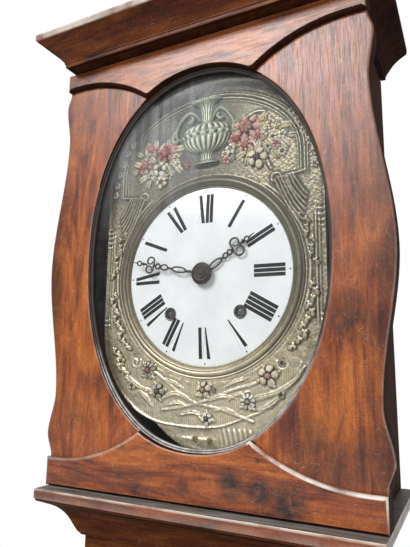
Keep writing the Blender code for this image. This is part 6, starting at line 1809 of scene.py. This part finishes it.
hemp, hemp_shader = new_material("hemp_line", 0.8)
hemp_fibre = clouds(object_place(), 700, 3)
plug(hemp_shader, "Base Color", ramp(hemp_fibre, [(0.3, (0.16, 0.11, 0.06)), (0.7, (0.38, 0.29, 0.17))]))
bumped(hemp_shader, hemp_fibre, 0.4, 0.0003)
line_maker = laid_line()
circle = [2 * pi * i / 12 for i in range(12)]
eye_profile = [(EYE_RADIUS + EYE_WIRE * cos(t), EYE_WIRE * sin(t)) for t in circle]
eye_profile.append(eye_profile[0])
for side in ("going", "strike"):
    weight_low, weight_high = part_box(side + "_weight")
    axis_x, axis_y = (weight_low.x + weight_high.x) / 2, (weight_low.y + weight_high.y) / 2
    casting = moved(mesh_from(turned(mm(WEIGHT), 72), 40), (axis_x, axis_y, weight_low.z))
    eye_place = (axis_x, axis_y, weight_high.z - EYE_RADIUS - EYE_WIRE)
    eye = moved(mesh_from(facing_front(turned(eye_profile, 28))), eye_place)
    piece("cast_" + side + "_weight", joined((casting, eye), 40), side + "_weight", "weight_iron",
          [cast_iron],
          side + "_weight")
    knot = moved(mesh_from(turned(mm(KNOT), 20)), (axis_x, axis_y, weight_high.z - KNOT_SUNK))
    piece(side + "_line_knot", knot, side + "_weight", "cord", [hemp])
    line_low, line_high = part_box(side + "_line")
    run = line_high.z - line_low.z
    line_mesh = grown(line_maker, Strands=STRANDS, Turns=run / LAY, Strand=STRAND,
                      Length=run, Foot=(axis_x, axis_y, line_low.z), Finish=hemp)
    line = piece(side + "_laid_line", line_mesh, "case", "cord", [], side + "_line")
    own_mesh(line)

# The bell: cast bronze, turned outside with two pairs of fine rings and a thick lip, held on its post by a
# nut over the cage.

# Radius and height above the mouth in millimetres: down the outside, then up the inside
BELL_OUTSIDE = ((3.4, 45), (12, 44.2), (22, 41.5), (31, 37), (38.5, 31.8), (44, 26.6), (47.8, 21.5),
                (48.4, 21.1), (48.7, 20), (49.1, 19.6), (50.8, 15), (52.2, 10), (52.8, 9.7), (53.1, 8.4),
                (53.4, 8), (54.3, 4.5), (55, 1.4), (54.8, 0))
BELL_INSIDE = ((51.8, 0), (51.2, 6), (49.2, 14), (45.5, 20.5), (40, 27), (32, 33.3), (22, 38.2),
               (11, 41.2), (3.4, 42))
bell_low, bell_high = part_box("bell")
bell_mesh = mesh_from(turned(mm(BELL_OUTSIDE + BELL_INSIDE + BELL_OUTSIDE[:1]), 84), 40)
bell_foot = ((bell_low.x + bell_high.x) / 2, (bell_low.y + bell_high.y) / 2, bell_low.z)
piece("cast_bell", moved(bell_mesh, bell_foot), "case", "bronze", [bell_bronze], "bell")

# The studio: a pale floor, a white backdrop far behind, soft light from the upper left and a camera at the
# photograph's place.

scene = bpy.context.scene
scene.view_settings.view_transform = "Standard"
CAMERA_PLACE = (0.3043, -0.6442, 1.7468)
CAMERA_RIGHT = (0.89, 0.4558, 0.0114)
CAMERA_UP = (0.0674, -0.1562, 0.9854)
CAMERA_BACK = (0.4509, -0.8763, -0.1697)
lens = bpy.data.cameras.new("photo_camera")
lens.sensor_width = 36
lens.lens = 520 / 547 * lens.sensor_width
camera = linked("photo_camera", lens)
turn = Matrix((CAMERA_RIGHT, CAMERA_UP, CAMERA_BACK)).transposed()
camera.matrix_world = Matrix.Translation(CAMERA_PLACE) @ turn.to_4x4()
scene.camera = camera


def backdrop_white(name, near, far):
    """A pale stage surface that is white to the camera and to gloss beyond a distance from the clock."""
    made, shader = new_material(name, 0.9)
    plug(shader, "Base Color", (0.86, 0.86, 0.86, 1))
    path = add("ShaderNodeLightPath").outputs
    seen = calc("MAXIMUM", path["Is Camera Ray"], path["Is Glossy Ray"])
    seen = calc("MAXIMUM", seen, path["Is Transmission Ray"])
    away = add("ShaderNodeVectorMath", {0: object_place()}, operation="LENGTH").outputs["Value"]
    share = times(seen, remap(away, near, far))
    white = out("ShaderNodeEmission", {"Color": (1, 1, 1, 1), "Strength": 1})
    both = out("ShaderNodeMixShader", {0: share, 1: shader.outputs[0], 2: white})
    plug(next(n for n in Bench.tree.nodes if n.type == "OUTPUT_MATERIAL"), "Surface", both)
    return made


def stage_sheet(name, corners, finish):
    mesh = bpy.data.meshes.new(name)
    mesh.from_pydata(corners, [], [tuple(range(len(corners)))])
    mesh.materials.append(finish)
    linked(name, mesh)


stage_sheet("floor", [(-14, -12, 0), (14, -12, 0), (14, 9, 0), (-14, 9, 0)],
            backdrop_white("floor_white", 1.6, 3.2))
stage_sheet("backdrop", [(-14, 9, 0), (14, 9, 0), (14, 9, 14), (-14, 9, 14)],
            backdrop_white("wall_white", 0.5, 1))


def softbox(name, place, aim, size, power, colour=(1, 1, 1)):
    lamp = bpy.data.lights.new(name, "AREA")
    lamp.shape = "RECTANGLE"
    lamp.size, lamp.size_y = size
    lamp.energy = power
    lamp.color = colour
    made = linked(name, lamp)
    made.location = place
    made.rotation_euler = (Vector(aim) - Vector(place)).to_track_quat("-Z", "Y").to_euler()


softbox("key_softbox", (-1.65, -4.55, 5.5), (0, -0.05, 1.9), (3.4, 2.4), 365, (0.95, 0.975, 1))
softbox("fill_softbox", (2.3, -2.7, 2.2), (0, 0, 1.7), (1.8, 1.8), 26)
world = bpy.data.worlds.new("studio_air")
scene.world = world
world.use_nodes = True
AIR_TINT = (0.92, 0.95, 1)
AIR_LIGHT = 0.2
Bench.tree = world.node_tree
background = Bench.tree.nodes["Background"]
air_path = add("ShaderNodeLightPath").outputs
air_seen = calc("MAXIMUM", air_path["Is Camera Ray"], air_path["Is Transmission Ray"])
plug(background, "Color", mixed(air_seen, AIR_TINT, (1, 1, 1)))
plug(background, "Strength", remap(air_seen, 0, 1, AIR_LIGHT, 1))
